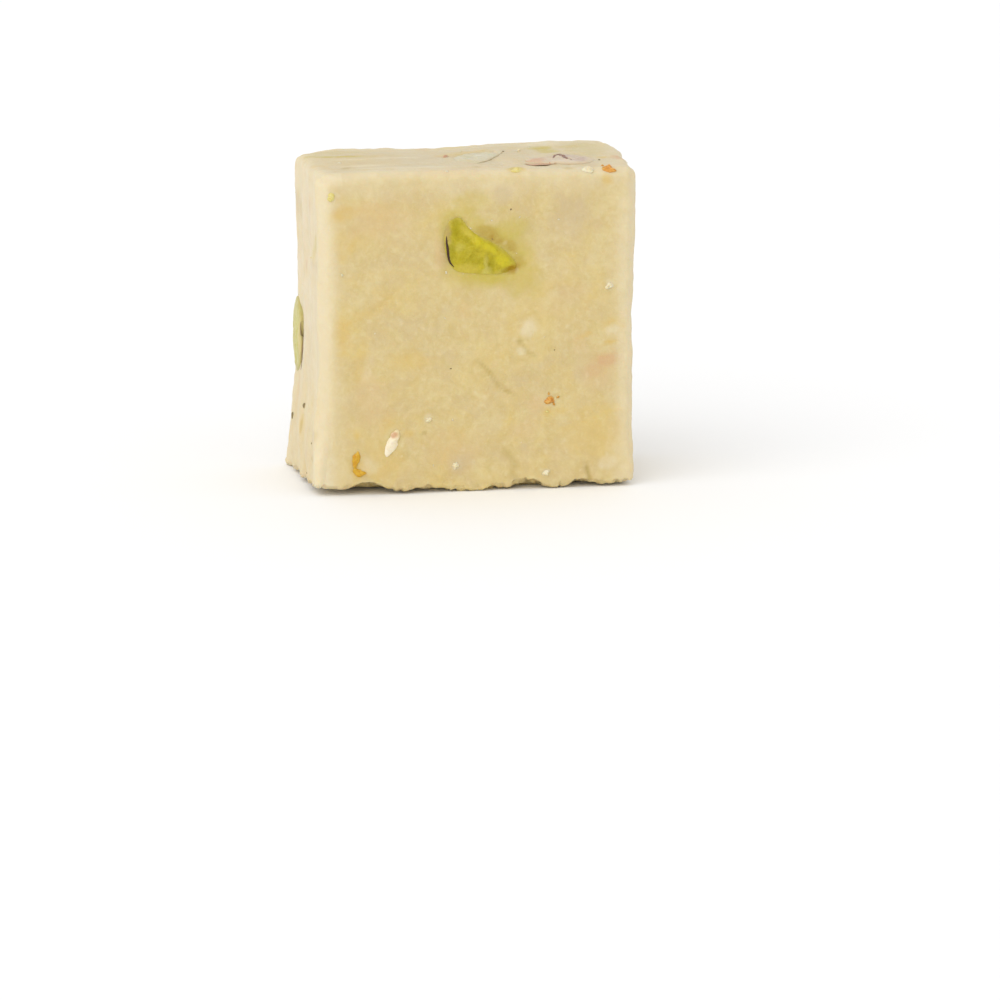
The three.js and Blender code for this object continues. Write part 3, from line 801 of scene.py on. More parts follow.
# Soft marks in the dough, by face and colour: true place across and up, length, width, turn and strength
doughMarks = {
    "front": {
        # The second rose spot is painted shade beside the front nut's left rim
        "rose": ((-9.6, 26.6, 8, 4.2, -5, 0.55), (-3.9, 23.6, 1, 3.4, 0, 0.6),
            (-10.4, 9.3, 3, 6.4, 10, 0.45), (-1.3, 17.6, 1.9, 1.6, 0, 0.45),
            (11.6, 11.6, 4.4, 3.2, 20, 0.5), (9.9, 14.2, 1.6, 2.6, 0, 0.5), (5.6, 8.4, 2.2, 1.8, 0, 0.7),
            (4.6, 6, 3, 2.2, 20, 0.4), (-2.8, 3.9, 6, 4.6, 0, 0.45)),
        "ochre": ((-12.9, 27.1, 3, 1.9, 20, 0.8), (-13.3, 24.6, 1.6, 3.4, 0, 0.4),
            (4.4, 21.2, 2.4, 4.2, 0, 0.4), (-6.6, 12.9, 4.8, 2, -6, 0.5), (-13.2, 15.6, 1.9, 4.8, 0, 0.65),
            (-9.4, 3.6, 4.6, 4.4, 0, 0.4), (-11.7, 2.7, 1.6, 2.2, 0, 0.8), (10.3, 14.9, 1.5, 0.6, 20, 0.6),
            (12.9, 14.2, 1.4, 0.6, 10, 0.8), (6.71, 7.54, 1, 0.9, 0, 1), (8, 7.6, 1.4, 0.7, 0, 0.5),
            (11.2, 5.2, 5.6, 6.8, 0, 0.4), (-6.78, 5.97, 1.1, 0.7, 0, 0.8),
            (-11.76, 5.87, 0.8, 1.1, 0, 0.6), (-8.9, 7, 1.4, 2.2, -30, 0.45),
            (12.5, 29.9, 1.2, 1.3, 0, 0.9)),
        "green": ((-0.6, 28, 5.4, 2.4, 8, 0.4), (-3.4, 26.6, 1.6, 2.6, 0, 0.3),
            (2.6, 24.8, 5.8, 4, -33, 0.75), (0.8, 20.6, 4.6, 2.2, 4, 0.6), (-2, 30.3, 24, 1.3, 0, 0.1),
            (4, 20.6, 4.4, 3.6, -30, 0.7), (-2.4, 21.2, 3, 2.6, 0, 0.35), (3.9, 25.6, 3.4, 2.4, -30, 0.45)),
        # The first three tan spots are painted shade on the dough's slope above the front nut's upper right
        # rim
        "tan": ((0.8, 25.2, 2.3, 1.5, -20, 0.8), (2.96, 23.96, 1.8, 0.9, -33, 0.8),
            (1.8, 24.5, 1.6, 1, -33, 0.6), (3.9, 22.2, 1.2, 1.4, 40, 0.6), (-2.1, 26.5, 0.8, 0.6, 0, 0.6)),
        "brown": ((3.25, 21.55, 1.5, 0.9, 14, 1), (1.28, 24.68, 0.62, 0.36, -55, 0.6),
            (2.05, 24.22, 0.75, 0.5, 0, 0.55), (3.15, 23.4, 1.1, 0.28, -34, 0.4)),
        "skin": ((-3.35, 23.4, 1, 3.6, 4, 0.6),),
        "stain": ((-0.2, 26.2, 3.4, 1.7, -36, 0.55), (4.5, 23.2, 2, 3.4, -20, 0.4),
            (2.1, 24.7, 3.4, 1.8, -33, 0.6), (0.8, 21, 4.2, 1.8, 0, 0.7)),
        "olive": ((2.3, 23.85, 1.5, 0.4, -38, 0.6), (4, 14.55, 0.75, 0.65, 0, 1),
            (-2.6, 15.9, 0.8, 1.2, 40, 0.3), (-10.07, 17.9, 0.4, 0.3, 0, 0.5),
            (-5.3, 5.95, 0.5, 0.5, 0, 0.8), (-7.01, 3.89, 0.9, 1, 0, 0.35)),
        "lilac": ((2.1, 28.8, 2.4, 1.9, 0, 0.75), (9.2, 26.3, 5.4, 4.4, 10, 0.7),
            (9.9, 11.1, 1.6, 2.2, 0, 0.5), (-1.6, 2.7, 2.8, 2, 0, 0.5), (4.4, 4.3, 1, 0.7, 0, 0.7)),
        # pale milky patches; the long bands down the front's left and right edges and the spot at its lower
        # left corner are painted highlights on the rounded edges
        "milk": ((4.8, 15.75, 1.9, 1.6, 60, 0.75), (4.1, 13.5, 1.2, 0.9, 0, 0.6),
            (-10.6, 3, 1.8, 1.6, 0, 0.4), (12.6, 2.4, 2.4, 1.4, 20, 0.5), (-2.2, 2.55, 1, 0.8, 0, 0.5),
            (6.5, 1.7, 0.9, 0.8, 30, 0.5), (-4.95, 7.4, 1, 0.7, 60, 0.5), (12.8, 19.8, 0.9, 0.8, 0, 0.5),
            (-14.2, 20, 1.6, 20, 0, 0.35), (14.3, 16, 1.7, 26, 0, 0.35), (-14.6, 2, 1.6, 4.4, 0, 0.7)),
        "salmon": ((12.5, 12.5, 2.6, 1.3, 14, 0.6), (11.2, 11.6, 2.6, 1.6, 30, 0.35)),
    },
    "left": {
        "milk": ((6, 26, 0.9, 9, 2, 0.7), (7.4, 3, 1.6, 5, 0, 0.6), (4.8, 12, 0.8, 14, 0, 0.5)),
        "rose": ((3.4, 25, 0.8, 7, 0, 0.45), (-4, 8, 1.4, 6, 0, 0.4)),
        "ochre": ((-0.3, 5.4, 1.4, 2, 0, 0.7), (2.8, 1.8, 2.4, 1.4, 0, 0.5)),
        "olive": ((-0.3, 5.4, 0.6, 1.4, 0, 0.6), (7.03, 5.81, 0.9, 1.2, 0, 0.3)),
    },
    "top": {
        "green": ((-12.2, 3, 6.4, 1.7, -14, 0.6), (12.4, 2.6, 5, 8, 0, 0.35), (-12, 5.2, 7, 2, -6, 0.35),
            (8.2, 2.9, 2.6, 4.5, 0, 0.9), (3.75, -7.1, 1.4, 1.2, 0, 0.7)),
        "ochre": ((-10.5, -1, 9, 10, 0, 0.3), (3.75, -7.3, 1.7, 1.4, 0, 0.9),
            (13.03, -2.44, 1, 1.4, 0, 0.6)),
        "lilac": ((-5, 0.4, 11, 1.5, -3, 0.6), (11, -5, 1.6, 4.6, 0, 0.9)),
        "milk": ((-10.5, -3.2, 6, 1.2, 0, 0.7), (3.5, -3.3, 2.2, 5, 0, 0.4)),
        "rose": ((3.5, -3.3, 2.6, 6, 0, 0.5),),
        "olive": ((7.57, -4.61, 0.8, 1.4, 0, 0.8),),
        "salmon": ((6.6, -4.7, 2.8, 1.4, 0, 0.5), (14.42, -2.62, 1.2, 2.2, 0, 0.6),
            (-1.74, 0.6, 1.2, 1.6, 20, 0.5)),
        "tan": ((8.9, -6.8, 1.2, 1, 0, 0.5),),
    },
}

# Lines drawn through the dough: mark, face, path, width, strength, and depth as a groove
doughLines = (
    ("olive", "front", ((-0.6, 13.2), (1.05, 11.6), (2.07, 10.15), (3.9, 9.2)), 0.18, 0.85, 0.04),
    ("olive", "front", ((4.1, 14.4), (4.7, 13.5), (5.9, 12.9)), 0.2, 0.6, 0.02),
    ("ochre", "front", ((-13.8, 15.7), (-12.4, 16.9), (-10.3, 17.7), (-9, 18.7), (-8.1, 19.8)),
     0.45, 0.4, 0.03),
    ("ochre", "front", ((-11.9, 10.4), (-11.5, 12.6), (-11, 14.8), (-10.2, 16)), 0.5, 0.35, 0.03),
    ("milk", "front", ((-11, 10.8), (-10.6, 12.8), (-10.1, 14.8)), 0.4, 0.25, 0),
    ("ochre", "front", ((11.9, 15.4), (12.6, 16), (13.6, 16.1), (14.5, 15.4)), 0.4, 0.5, 0.03),
    ("milk", "front", ((12.3, 15), (13, 15.4), (13.8, 15.2)), 0.35, 0.6, 0),
    ("olive", "front", ((1.8, 4.3), (2.9, 3.5), (3.5, 2.5), (3.4, 1.5), (4.1, 0.8)), 0.36, 0.6, 0.05),
    ("olive", "front", ((10.5, 2.3), (10.7, 1.5), (11, 0.4)), 0.24, 0.9, 0.12),
    ("ochre", "front", ((-13.6, 22.6), (-12.4, 23.6), (-11.6, 25.6)), 0.5, 0.45, 0),
    ("ochre", "front", ((5.2, 18.6), (7.2, 19.9), (9.4, 20.2)), 0.5, 0.3, 0),
    ("rose", "front", ((7, 16.6), (8.2, 18.9), (10.9, 19.6)), 0.7, 0.3, 0),
    ("olive", "back", ((3, 12), (5, 10.4), (7.6, 9.8), (10, 8)), 0.26, 0.6, 0.05),
    ("ochre", "back", ((-11.8, 24), (-9.6, 22.6), (-6.2, 23.4), (-3.4, 22)), 0.5, 0.7, 0.03),
    ("ochre", "back", ((-2, 5), (0.6, 3.8), (3.4, 4.6)), 0.5, 0.6, 0.03),
    ("olive", "right", ((-4.6, 8.2), (-2.4, 7), (0.4, 7.4), (3.4, 5.6)), 0.24, 0.5, 0.05),
    ("green", "top", ((-14.2, 3.4), (-12.2, 2.6), (-10.6, 2.2), (-8.8, 2.5)), 0.4, 0.7, 0.04),
    ("olive", "top", ((0.2, -5.6), (0.1, -6.3)), 0.3, 0.5, 0),
    ("olive", "left", ((5.4, 3.45), (6.25, 3)), 0.16, 0.8, 0),
    ("milk", "top", ((-13.6, 1.4), (-10.4, 0.6), (-6.8, 0.9), (-3.2, 0.4)), 0.5, 0.7, 0),
    ("milk", "top", ((-12, -5.2), (-6, -5.6), (-1, -5.3)), 0.6, 0.6, 0),
)

# Further soft marks, drawn at random: most on the back and the right side, a few on the left and the top
hiddenMarks = {
    "seed": 5,
    "countOnFace": {"back": 46, "right": 30, "left": 8, "top": 10},
    "kinds": {"ochre": 0.3, "green": 0.1, "olive": 0.03, "rose": 0.28, "salmon": 0.03, "lilac": 0.08,
              "milk": 0.16, "tan": 0.02},
    "smaller": {"olive": 0.4, "salmon": 0.4},
    "length": (1.2, 6.5),
    "slimness": (0.25, 0.8),
    "strength": (0.25, 0.65),
}


# Marks drawn one after the other: what, where, how long, how wide, how turned and how strong
def drawMarks():
    draw = np.random.default_rng(hiddenMarks["seed"])
    kinds, shares = zip(*hiddenMarks["kinds"].items())
    drawn = []
    for face, count in hiddenMarks["countOnFace"].items():
        reach, low, high = faceSpan(face)
        for _ in range(count):
            mark = draw.choice(kinds, p=shares)
            length = draw.uniform(*hiddenMarks["length"]) * hiddenMarks["smaller"].get(mark, 1)
            drawn.append((mark, face, draw.uniform(-reach, reach), draw.uniform(low, high), length,
                          length * draw.uniform(*hiddenMarks["slimness"]), draw.uniform(0, 180),
                          draw.uniform(*hiddenMarks["strength"])))
    return drawn


# How much a surface point belongs to a face, by the direction in which it looks
def faceShare(face, out):
    return smoothRise(0.35, 0.85, out @ faceAxes(face)[2])


# Places of points across and up a face
def onFace(face, point):
    right, upward, _ = faceAxes(face)
    return point @ right, point @ upward


# The points beside a line on a face: which they are, a bell across the line times how much they belong to the
# face, and how far along the line they lie
def besideLine(face, path, width, point, out):
    across, up = onFace(face, point)
    curve = smoothCurve(path, 40)
    low, high = curve.min(axis=0) - 3 * width, curve.max(axis=0) + 3 * width
    near = (faceShare(face, out) > 0) & (across > low[0]) & (across < high[0])
    near &= (up > low[1]) & (up < high[1])
    gaps = np.linalg.norm(columns(across[near], up[near])[:, None] - curve, axis=2)
    share = bell(gaps.min(axis=1), width) * faceShare(face, out[near])
    return near, share, gaps.argmin(axis=1) / (len(curve) - 1)


# An elliptical spot, full inside, that fades by 3t^2 - 2t^3 over its border. Its distance is warped.
def softSpot(x, y, length, width, turn, warp):
    angle = np.radians(turn)
    distance = np.hypot((x * np.cos(angle) + y * np.sin(angle)) / (length / 2),
                        (y * np.cos(angle) - x * np.sin(angle)) / (width / 2)) + warp
    return 1 - smoothRise(0.35, 1.35, distance)


markForm = {
    "warp": ((0.32, 1.2, 71), (0.16, 0.5, 13)),  # unevenness: height, length and place in the noise
    "lineEnd": 0.2,  # share of a line over which each end fades
    "halo": (-0.1, 1),  # from where to where the stain round a nut fades
    # painted highlight along the rounded edges other than the foot: its reach and the waver of its border
    "edgeReach": 3.8,
    "edgeWaver": ((0.5, 1.8, 3),),  # height, length and place in the noise
    # painted highlight on the edges at the front's upper left corner, laid as milk
    "worn": {"reach": 1.8, "corner": (-13, -5), "heights": (23, 29), "strength": (0.1, 0.5)},
    # paler ends: partly drier cut faces, partly painted light that is stronger on the lit left end and higher
    # up
    "dryAndLit": ((0.15, 1), (0.85, 0.5)),  # directions where it begins and is full, strength and its unevenness
    # painted shade on the top, with the same columns
    "paintedTopShade": ((0.1, 0.95), (0.9, 0.4)),
    "moreOnLeft": 1.2,
    "dryAndLitHeights": (4, 18),
    "dryAndLitStrength": (0.6, 0.4),  # at the foot, and how much more above
}


# The marks' strength at each point: soft spots, along a line a bell across the path, round a nut a stain that
# fades outwards, and by direction and nearness to an edge the paler ends, partly drier cut faces and partly
# painted light, the painted shade of the top and the painted highlights along the edges and at the front's
# upper left corner
def doughMarkValues(point, out):
    marks = {name: np.zeros(len(point)) for name in doughLook["marks"]}
    warp = ripples(point, markForm["warp"])

    # A mark laid over what is there: 1 - (1 - a)(1 - b)
    def lay(mark, where, value):
        marks[mark][where] = 1 - (1 - marks[mark][where]) * (1 - np.clip(value, 0, 1))

    placed = [(mark, face, *spot) for face, kinds in doughMarks.items()
              for mark, spots in kinds.items() for spot in spots]
    for mark, face, atAcross, atUp, length, width, turn, strength in placed + drawMarks():
        across, up = onFace(face, point)
        near = (faceShare(face, out) > 0) & (np.hypot(across - atAcross, up - atUp) < max(length, width))
        value = softSpot(across[near] - atAcross, up[near] - atUp, length, width, turn, warp[near])
        lay(mark, near, strength * value * faceShare(face, out[near]))
    end = markForm["lineEnd"]
    for mark, face, path, width, strength, _ in doughLines:
        near, share, along = besideLine(face, path, width, point, out)
        taper = smoothRise(0, end, along) * smoothRise(0, end, 1 - along)
        lay(mark, near, strength * (1 + warp[near]) * taper * share)
    for nut in nuts.values():
        x, y, z = seenFrom(nut["seat"], point)
        outside = np.hypot(x, y) - rimAt(nut, x, y) + 0.5 * warp
        stain = nut.get("halo", 0) * (1 - smoothRise(*markForm["halo"], outside)) * (np.abs(z) < 2)
        lay("stain", slice(None), stain * (1 + warp))
    # Painted highlight on the edges at the front's upper left corner, where the light falls, laid as milk
    height, worn = point[:, 2], markForm["worn"]
    strength, more = worn["strength"]
    atCorner = nearEdge(point, worn["reach"]) * (point[:, :2] < worn["corner"]).all(axis=1)
    lay("milk", slice(None), atCorner * (strength + more * smoothRise(*worn["heights"], height)) * (1 + warp))
    # Painted highlight along the rounded edges
    marks["edge"] = nearEdge(point + ripples(point, markForm["edgeWaver"])[:, None], markForm["edgeReach"])
    # Paler ends, more on the lit left end and higher up, partly drier cut faces and partly painted light; and
    # painted shade on the top
    sideways = np.maximum(out[:, 0], -out[:, 0] * markForm["moreOnLeft"])
    for mark, direction in (("dryAndLit", sideways), ("paintedTopShade", out[:, 2])):
        span, (strength, uneven) = markForm[mark]
        marks[mark] = smoothRise(*span, direction) * (strength + uneven * warp)
    strength, more = markForm["dryAndLitStrength"]
    marks["dryAndLit"] *= strength + more * smoothRise(*markForm["dryAndLitHeights"], height)
    return marks


# A box's shell as a grid of whole-number points, welded along its edges, with quads that face out
def boxShell(steps):
    corners = []
    for axis in range(3):
        first, second = (axis + 1) % 3, (axis + 2) % 3
        for side in (0, 1):
            i, j = np.meshgrid(np.arange(steps[first]), np.arange(steps[second]), indexing="ij")
            shifts = ((0, 0), (1, 0), (1, 1), (0, 1)) if side else ((0, 0), (0, 1), (1, 1), (1, 0))
            quad = np.zeros((i.size, 4, 3), int)
            quad[:, :, axis] = side * steps[axis]
            for corner, (di, dj) in enumerate(shifts):
                quad[:, corner, first] = i.ravel() + di
                quad[:, corner, second] = j.ravel() + dj
            corners.append(quad)
    corners = np.concatenate(corners)
    key = (corners[..., 0] * (steps[1] + 1) + corners[..., 1]) * (steps[2] + 1) + corners[..., 2]
    _, first, quads = np.unique(key, return_index=True, return_inverse=True)
    return corners.reshape(-1, 3)[first], quads.reshape(-1, 4)


doughLook = {
    "base": (209, 188, 133),
    "mottle": (((215, 190, 112), 10, 0.62, 3), ((202, 180, 132), 4.5, 0.58, 3.5),
               ((215, 198, 146), 2.2, 0.4, 2), ((200, 177, 115), 1.1, 0.38, 1.5),
               ((217, 200, 150), 0.5, 0.3), ((200, 178, 120), 0.28, 0.2)),
    "marks": {  # colour, strength, fray and length of the fraying
        # partly drier cut faces, partly painted light on the ends
        "dryAndLit": ((221, 207, 178), 0.9, 0.8, 2.2),
        # painted shade on the top
        "paintedTopShade": ((207, 192, 158), 0.95, 0.6, 1.8),
        # painted highlight along the rounded edges
        "edge": ((219, 204, 167), 0.66, 1, 1.2),
        "ochre": ((210, 178, 96), 0.75, 1.4, 0.7),
        "green": ((194, 176, 84), 0.8, 1.2, 0.8),
        "stain": ((192, 174, 60), 0.8, 1.2, 0.5),
        "rose": ((210, 180, 132), 0.75, 1.2, 0.8),
        "salmon": ((204, 156, 112), 0.8, 1.4, 0.6),
        "lilac": ((198, 178, 142), 0.65, 1, 0.8),
        "tan": ((178, 150, 64), 0.85, 1, 0.5),
        "olive": ((174, 150, 78), 0.65, 0.9, 0.6),
        # pale milky patches, and painted highlights along the front's edges and at its upper left corner
        "milk": ((223, 211, 178), 0.85, 1.4, 0.6),
        "skin": ((188, 160, 118), 0.7, 1.2, 0.5),
        "brown": ((164, 126, 18), 0.9, 1, 0.4),
    },
    "flecks": (((224, 211, 172), 1, 0.4, 0.8, 0.25), ((230, 218, 186), 2.2, 0.12, 0.85, 0.35)),
    "grain": (0.28, 0.4, 0.045),
    "roughness": (0.42, 0.6),
    "glow": (0.25, 1.4),
}


# The whole block: a box's grid, crowded towards its edges by a sine, laid on the dough's surface
def makeDough():
    places, quads = boxShell(dough["steps"])
    share = 2 * places / np.array(dough["steps"]) - 1
    share += dough["crowding"] * np.sin(np.pi * share) / np.pi
    point, out = doughSurface(share)
    shape = {"points": point, "faces": [quads], "marks": doughMarkValues(point, out)}
    putPiece("dough_block", [shape], foodMaterial("creamDough", doughLook))


makeDough()


# Small shapes set on a place

# A pebble about its rim: from a pole under it, out to the rim and back to a pole on top. At the share s of
# the way out the level is 1 - s^(2/(1 - fullness)), to the power of steepness, times sink below the rim and
# times crown above it. Half a power stands up straight at the rim, and a whole one slopes. Relief raises the
# part above the rim by the level's share.
def pebble(rim, sink, crown, fullness, rows, relief, steepness=0.5):
    below, above = rows
    q = np.arange(1, below + 1) / below
    up = np.concatenate([np.sin(np.pi / 2 * q), np.sin(np.pi / 2 * (np.arange(above - 1, 0, -1) / above))])
    side = np.concatenate([-np.ones(below), np.ones(above - 1)])
    level = np.clip(1 - up ** (2 / (1 - fullness)), 0, 1) ** steepness * side
    x = np.concatenate([[0], np.multiply.outer(up, rim[:, 0]).ravel(), [0]])
    y = np.concatenate([[0], np.multiply.outer(up, rim[:, 1]).ravel(), [0]])
    level = np.concatenate([[-1], np.repeat(level, len(rim)), [1]])
    share = np.concatenate([[0], np.repeat(up, len(rim)), [0]])
    z = level * np.where(level > 0, crown, sink)
    rise = relief(x, y)
    z += rise * np.maximum(0, level)
    return {"points": columns(x, y, z), "faces": ballFaces(below + above - 1, len(rim)),
            "share": share, "level": level, "rise": rise}


# A shape's points in a seat's directions, moved to its place
def seated(shape, place):
    return {**shape, "points": shape["points"] @ place["axes"].T + place["point"]}


# An uneven ellipse: its radius wavers by two noises round it, the second finer and half as strong
def unevenRim(length, width, around, waver, key):
    angle = np.arange(around) * 2 * np.pi / around
    wave = 1 + waver * noise(columns(1.3 * np.cos(angle), 1.3 * np.sin(angle), key))
    wave += waver / 2 * noise(columns(3 * np.cos(angle), 3 * np.sin(angle), key + 7))
    return columns(length / 2 * np.cos(angle) * wave, width / 2 * np.sin(angle) * wave)


# A tapered band along a path: rings of an ellipse, across by width and outwards by height, which shrink to
# points at both ends by a power of a sine
def band(path, normal, width, height, around=10, taper=0.6):
    step = np.gradient(path, axis=0)
    step /= np.linalg.norm(step, axis=1, keepdims=True)
    side = np.cross(normal, step)
    side /= np.linalg.norm(side, axis=1, keepdims=True)
    t = np.linspace(0, 1, len(path))[1:-1]
    size = np.sin(np.pi * t) ** taper
    angle = np.arange(around) * 2 * np.pi / around
    widths = np.interp(t, np.linspace(0, 1, np.size(width)), np.atleast_1d(width))
    across = np.multiply.outer(size * widths / 2, np.cos(angle))
    outward = np.multiply.outer(size * height / 2, np.sin(angle))
    rings = path[1:-1, None] + across[..., None] * side[1:-1, None] + outward[..., None] * normal[1:-1, None]
    points = np.concatenate([path[:1], rings.reshape(-1, 3), path[-1:]])
    return {"points": points, "faces": ballFaces(len(t), around)}


# A path across a nut in the nut's own plane, or a true path across a face of the dough, which climbs over the
# face's nuts: points on its surface and the directions out of it
def layPath(place, path, samples, lift):
    curve = smoothCurve(path, samples)
    if place in nuts:
        nut = nuts[place]
        shape = seated({"points": columns(*curve.T, nutHeight(nut, *curve.T) + lift)}, nut["seat"])
        return shape["points"], np.tile(nut["seat"]["axes"][:, 2], (samples, 1))
    point, out = doughSurface(aimed(place, *curve.T))
    for nut in nuts.values():
        if nut["face"] == place:
            x, y, z = seenFrom(nut["seat"], point)
            climb = np.maximum(0, nutHeight(nut, x, y) - z) * (np.hypot(x, y) < rimAt(nut, x, y))
            point += outwards(nut["seat"], climb)
    return point + out * lift, out


# Nuts

kernel = {"grain": (0.16, 0.5, 0.02), "roughness": (0.35, 0.52), "glow": (0.2, 0.8)}
# In each look the deep colour is also painted shade in the grooves of the nut's relief, and the bright colour
# a painted highlight on its ridges
nutLooks = {
    "pistachio": {
        "base": (186, 170, 30),
        "mottle": (((170, 157, 42), 1.3, 0.45), ((194, 179, 60), 0.55, 0.45), ((170, 153, 26), 0.28, 0.4)),
        "marks": {
            "rimmed": ((193, 175, 84), 0.75, 1.2, 0.35),
            "dark": ((162, 152, 48), 0.7, 1.4, 0.5),
            "deep": ((156, 143, 12), 0.7, 1, 0.4),
            "brightAndRidgeHighlight": ((202, 188, 42), 0.8, 1.2, 0.4),
            "pale": ((198, 180, 72), 0.85, 1.4, 0.4),
            "white": ((202, 191, 104), 0.8, 1.2, 0.3),
            "skin": ((182, 158, 100), 0.85, 1, 0.5),
            "brown": ((158, 122, 10), 0.9, 0.8, 0.4),
        },
        "gloss": 0.2,
        "grain": (0.16, 0.6, 0.05),
        "roughness": (0.38, 0.58),
        "glow": (0.14, 0.6),
    },
    "palePistachio": {
        "base": (193, 186, 106),
        "mottle": (((183, 174, 92), 1.2, 0.5), ((203, 196, 130), 0.5, 0.45)),
        "marks": {
            "dark": ((186, 175, 122), 0.7, 1.2, 0.6),
            "deep": ((178, 169, 98), 0.6, 0.6, 0.5),
            "brightAndRidgeHighlight": ((204, 198, 140), 0.7, 0.8, 0.5),
            "rimmed": ((180, 168, 110), 0.7, 1.2, 0.35),
            "pale": ((214, 194, 136), 0.8, 0.8, 0.4),
        },
        **kernel,
    },
    "cutPistachio": {
        "base": (205, 196, 166),
        "mottle": (((198, 190, 146), 1.2, 0.45), ((211, 202, 176), 0.5, 0.35)),
        "marks": {
            "dark": ((197, 186, 144), 0.7, 1.2, 0.6),
            "deep": ((190, 178, 134), 0.5, 0.6, 0.5),
            "brightAndRidgeHighlight": ((216, 209, 188), 0.7, 0.8, 0.5),
            "rimmed": ((207, 192, 153), 0.8, 1.4, 0.4),
        },
        **kernel,
    },
    "almond": {
        "base": (206, 189, 161),
        "mottle": (((198, 178, 152), 1.3, 0.5), ((213, 197, 168), 0.5, 0.4)),
        "marks": {
            "dark": ((188, 166, 152), 0.8, 1.2, 0.6),
            "deep": ((188, 166, 144), 0.5, 0.6, 0.5),
            "brightAndRidgeHighlight": ((219, 204, 182), 0.7, 0.8, 0.5),
            "rimmed": ((208, 190, 158), 0.8, 1.4, 0.4),
            "skin": ((205, 166, 134), 0.9, 1.2, 0.4),
        },
        **kernel,
        "grain": (0.18, 0.5, 0.02),
        "roughness": (0.4, 0.58),
    },
}
nutPieces = {  # piece: node, look, slot
    "pistachio_front_flesh": ("pistachio_front", "pistachio", "pistachio"),
    "pistachio_back_flesh": ("pistachio_back", "pistachio", "pistachio"),
    "pistachio_right_flesh": ("pistachio_right", "pistachio", "pistachio"),
    "pistachio_left_kernel": ("pistachio_left", "palePistachio", "pistachio_pale"),
    "pistachio_top_slice": ("pistachio_top", "cutPistachio", "pistachio_pale"),
    "almond_top_piece": ("almond_top", "almond", "almond"),
    "almond_back_piece": ("almond_back", "almond", "almond"),
}
# Painted shade in the relief's grooves, painted highlight on its ridges, and the rim's own tone
reliefMarks = {"deep": (0.05, 0.35), "brightAndRidgeHighlight": (0.08, 0.35), "rimmed": (0.78, 1)}  # where they begin and end


# Each nut: a fine pebble round its own rim. Its marks come from its relief: grooves get painted shade, ridges
# a painted highlight, and the outermost part of its face is rimmed. Its own soft spots are laid over them.
def makeNuts():
    materials = {name: foodMaterial(name + "Flesh", look) for name, look in nutLooks.items()}
    around, *rows = nutForm["steps"]
    for name, (node, look, slot) in nutPieces.items():
        nut = nuts[node]
        rim = smoothCurve(nut["outline"], around, closed=True)
        shape = pebble(rim, nut["sink"], nut["crown"], nutForm["fullness"], rows,
                       lambda x, y: fleshRelief(nut, x, y))
        nearRim = shape["share"] + ripples(shape["points"], nutForm["rimWarp"])
        marks = {mark: np.zeros(len(nearRim)) for mark in ("dark", "pale", "white", "skin", "brown")}
        # Painted shade in the grooves and painted highlight on the ridges
        marks["deep"] = smoothRise(*reliefMarks["deep"], -shape["rise"])
        marks["brightAndRidgeHighlight"] = 0.7 * smoothRise(*reliefMarks["brightAndRidgeHighlight"], shape["rise"])
        marks["rimmed"] = smoothRise(*reliefMarks["rimmed"], nearRim) * (shape["level"] > -0.1)
        x, y, _ = shape["points"].T
        warp = ripples(shape["points"], nutForm["spotWarp"])
        for mark, atX, atY, length, width, turn, strength in nut["marks"]:
            value = softSpot(x - atX, y - atY, length, width, turn, warp)
            marks[mark] = 1 - (1 - marks[mark]) * (1 - strength * value)
        shape["marks"] = marks
        putPiece(name, [seated(shape, nut["seat"])], materials[look], node)


makeNuts()

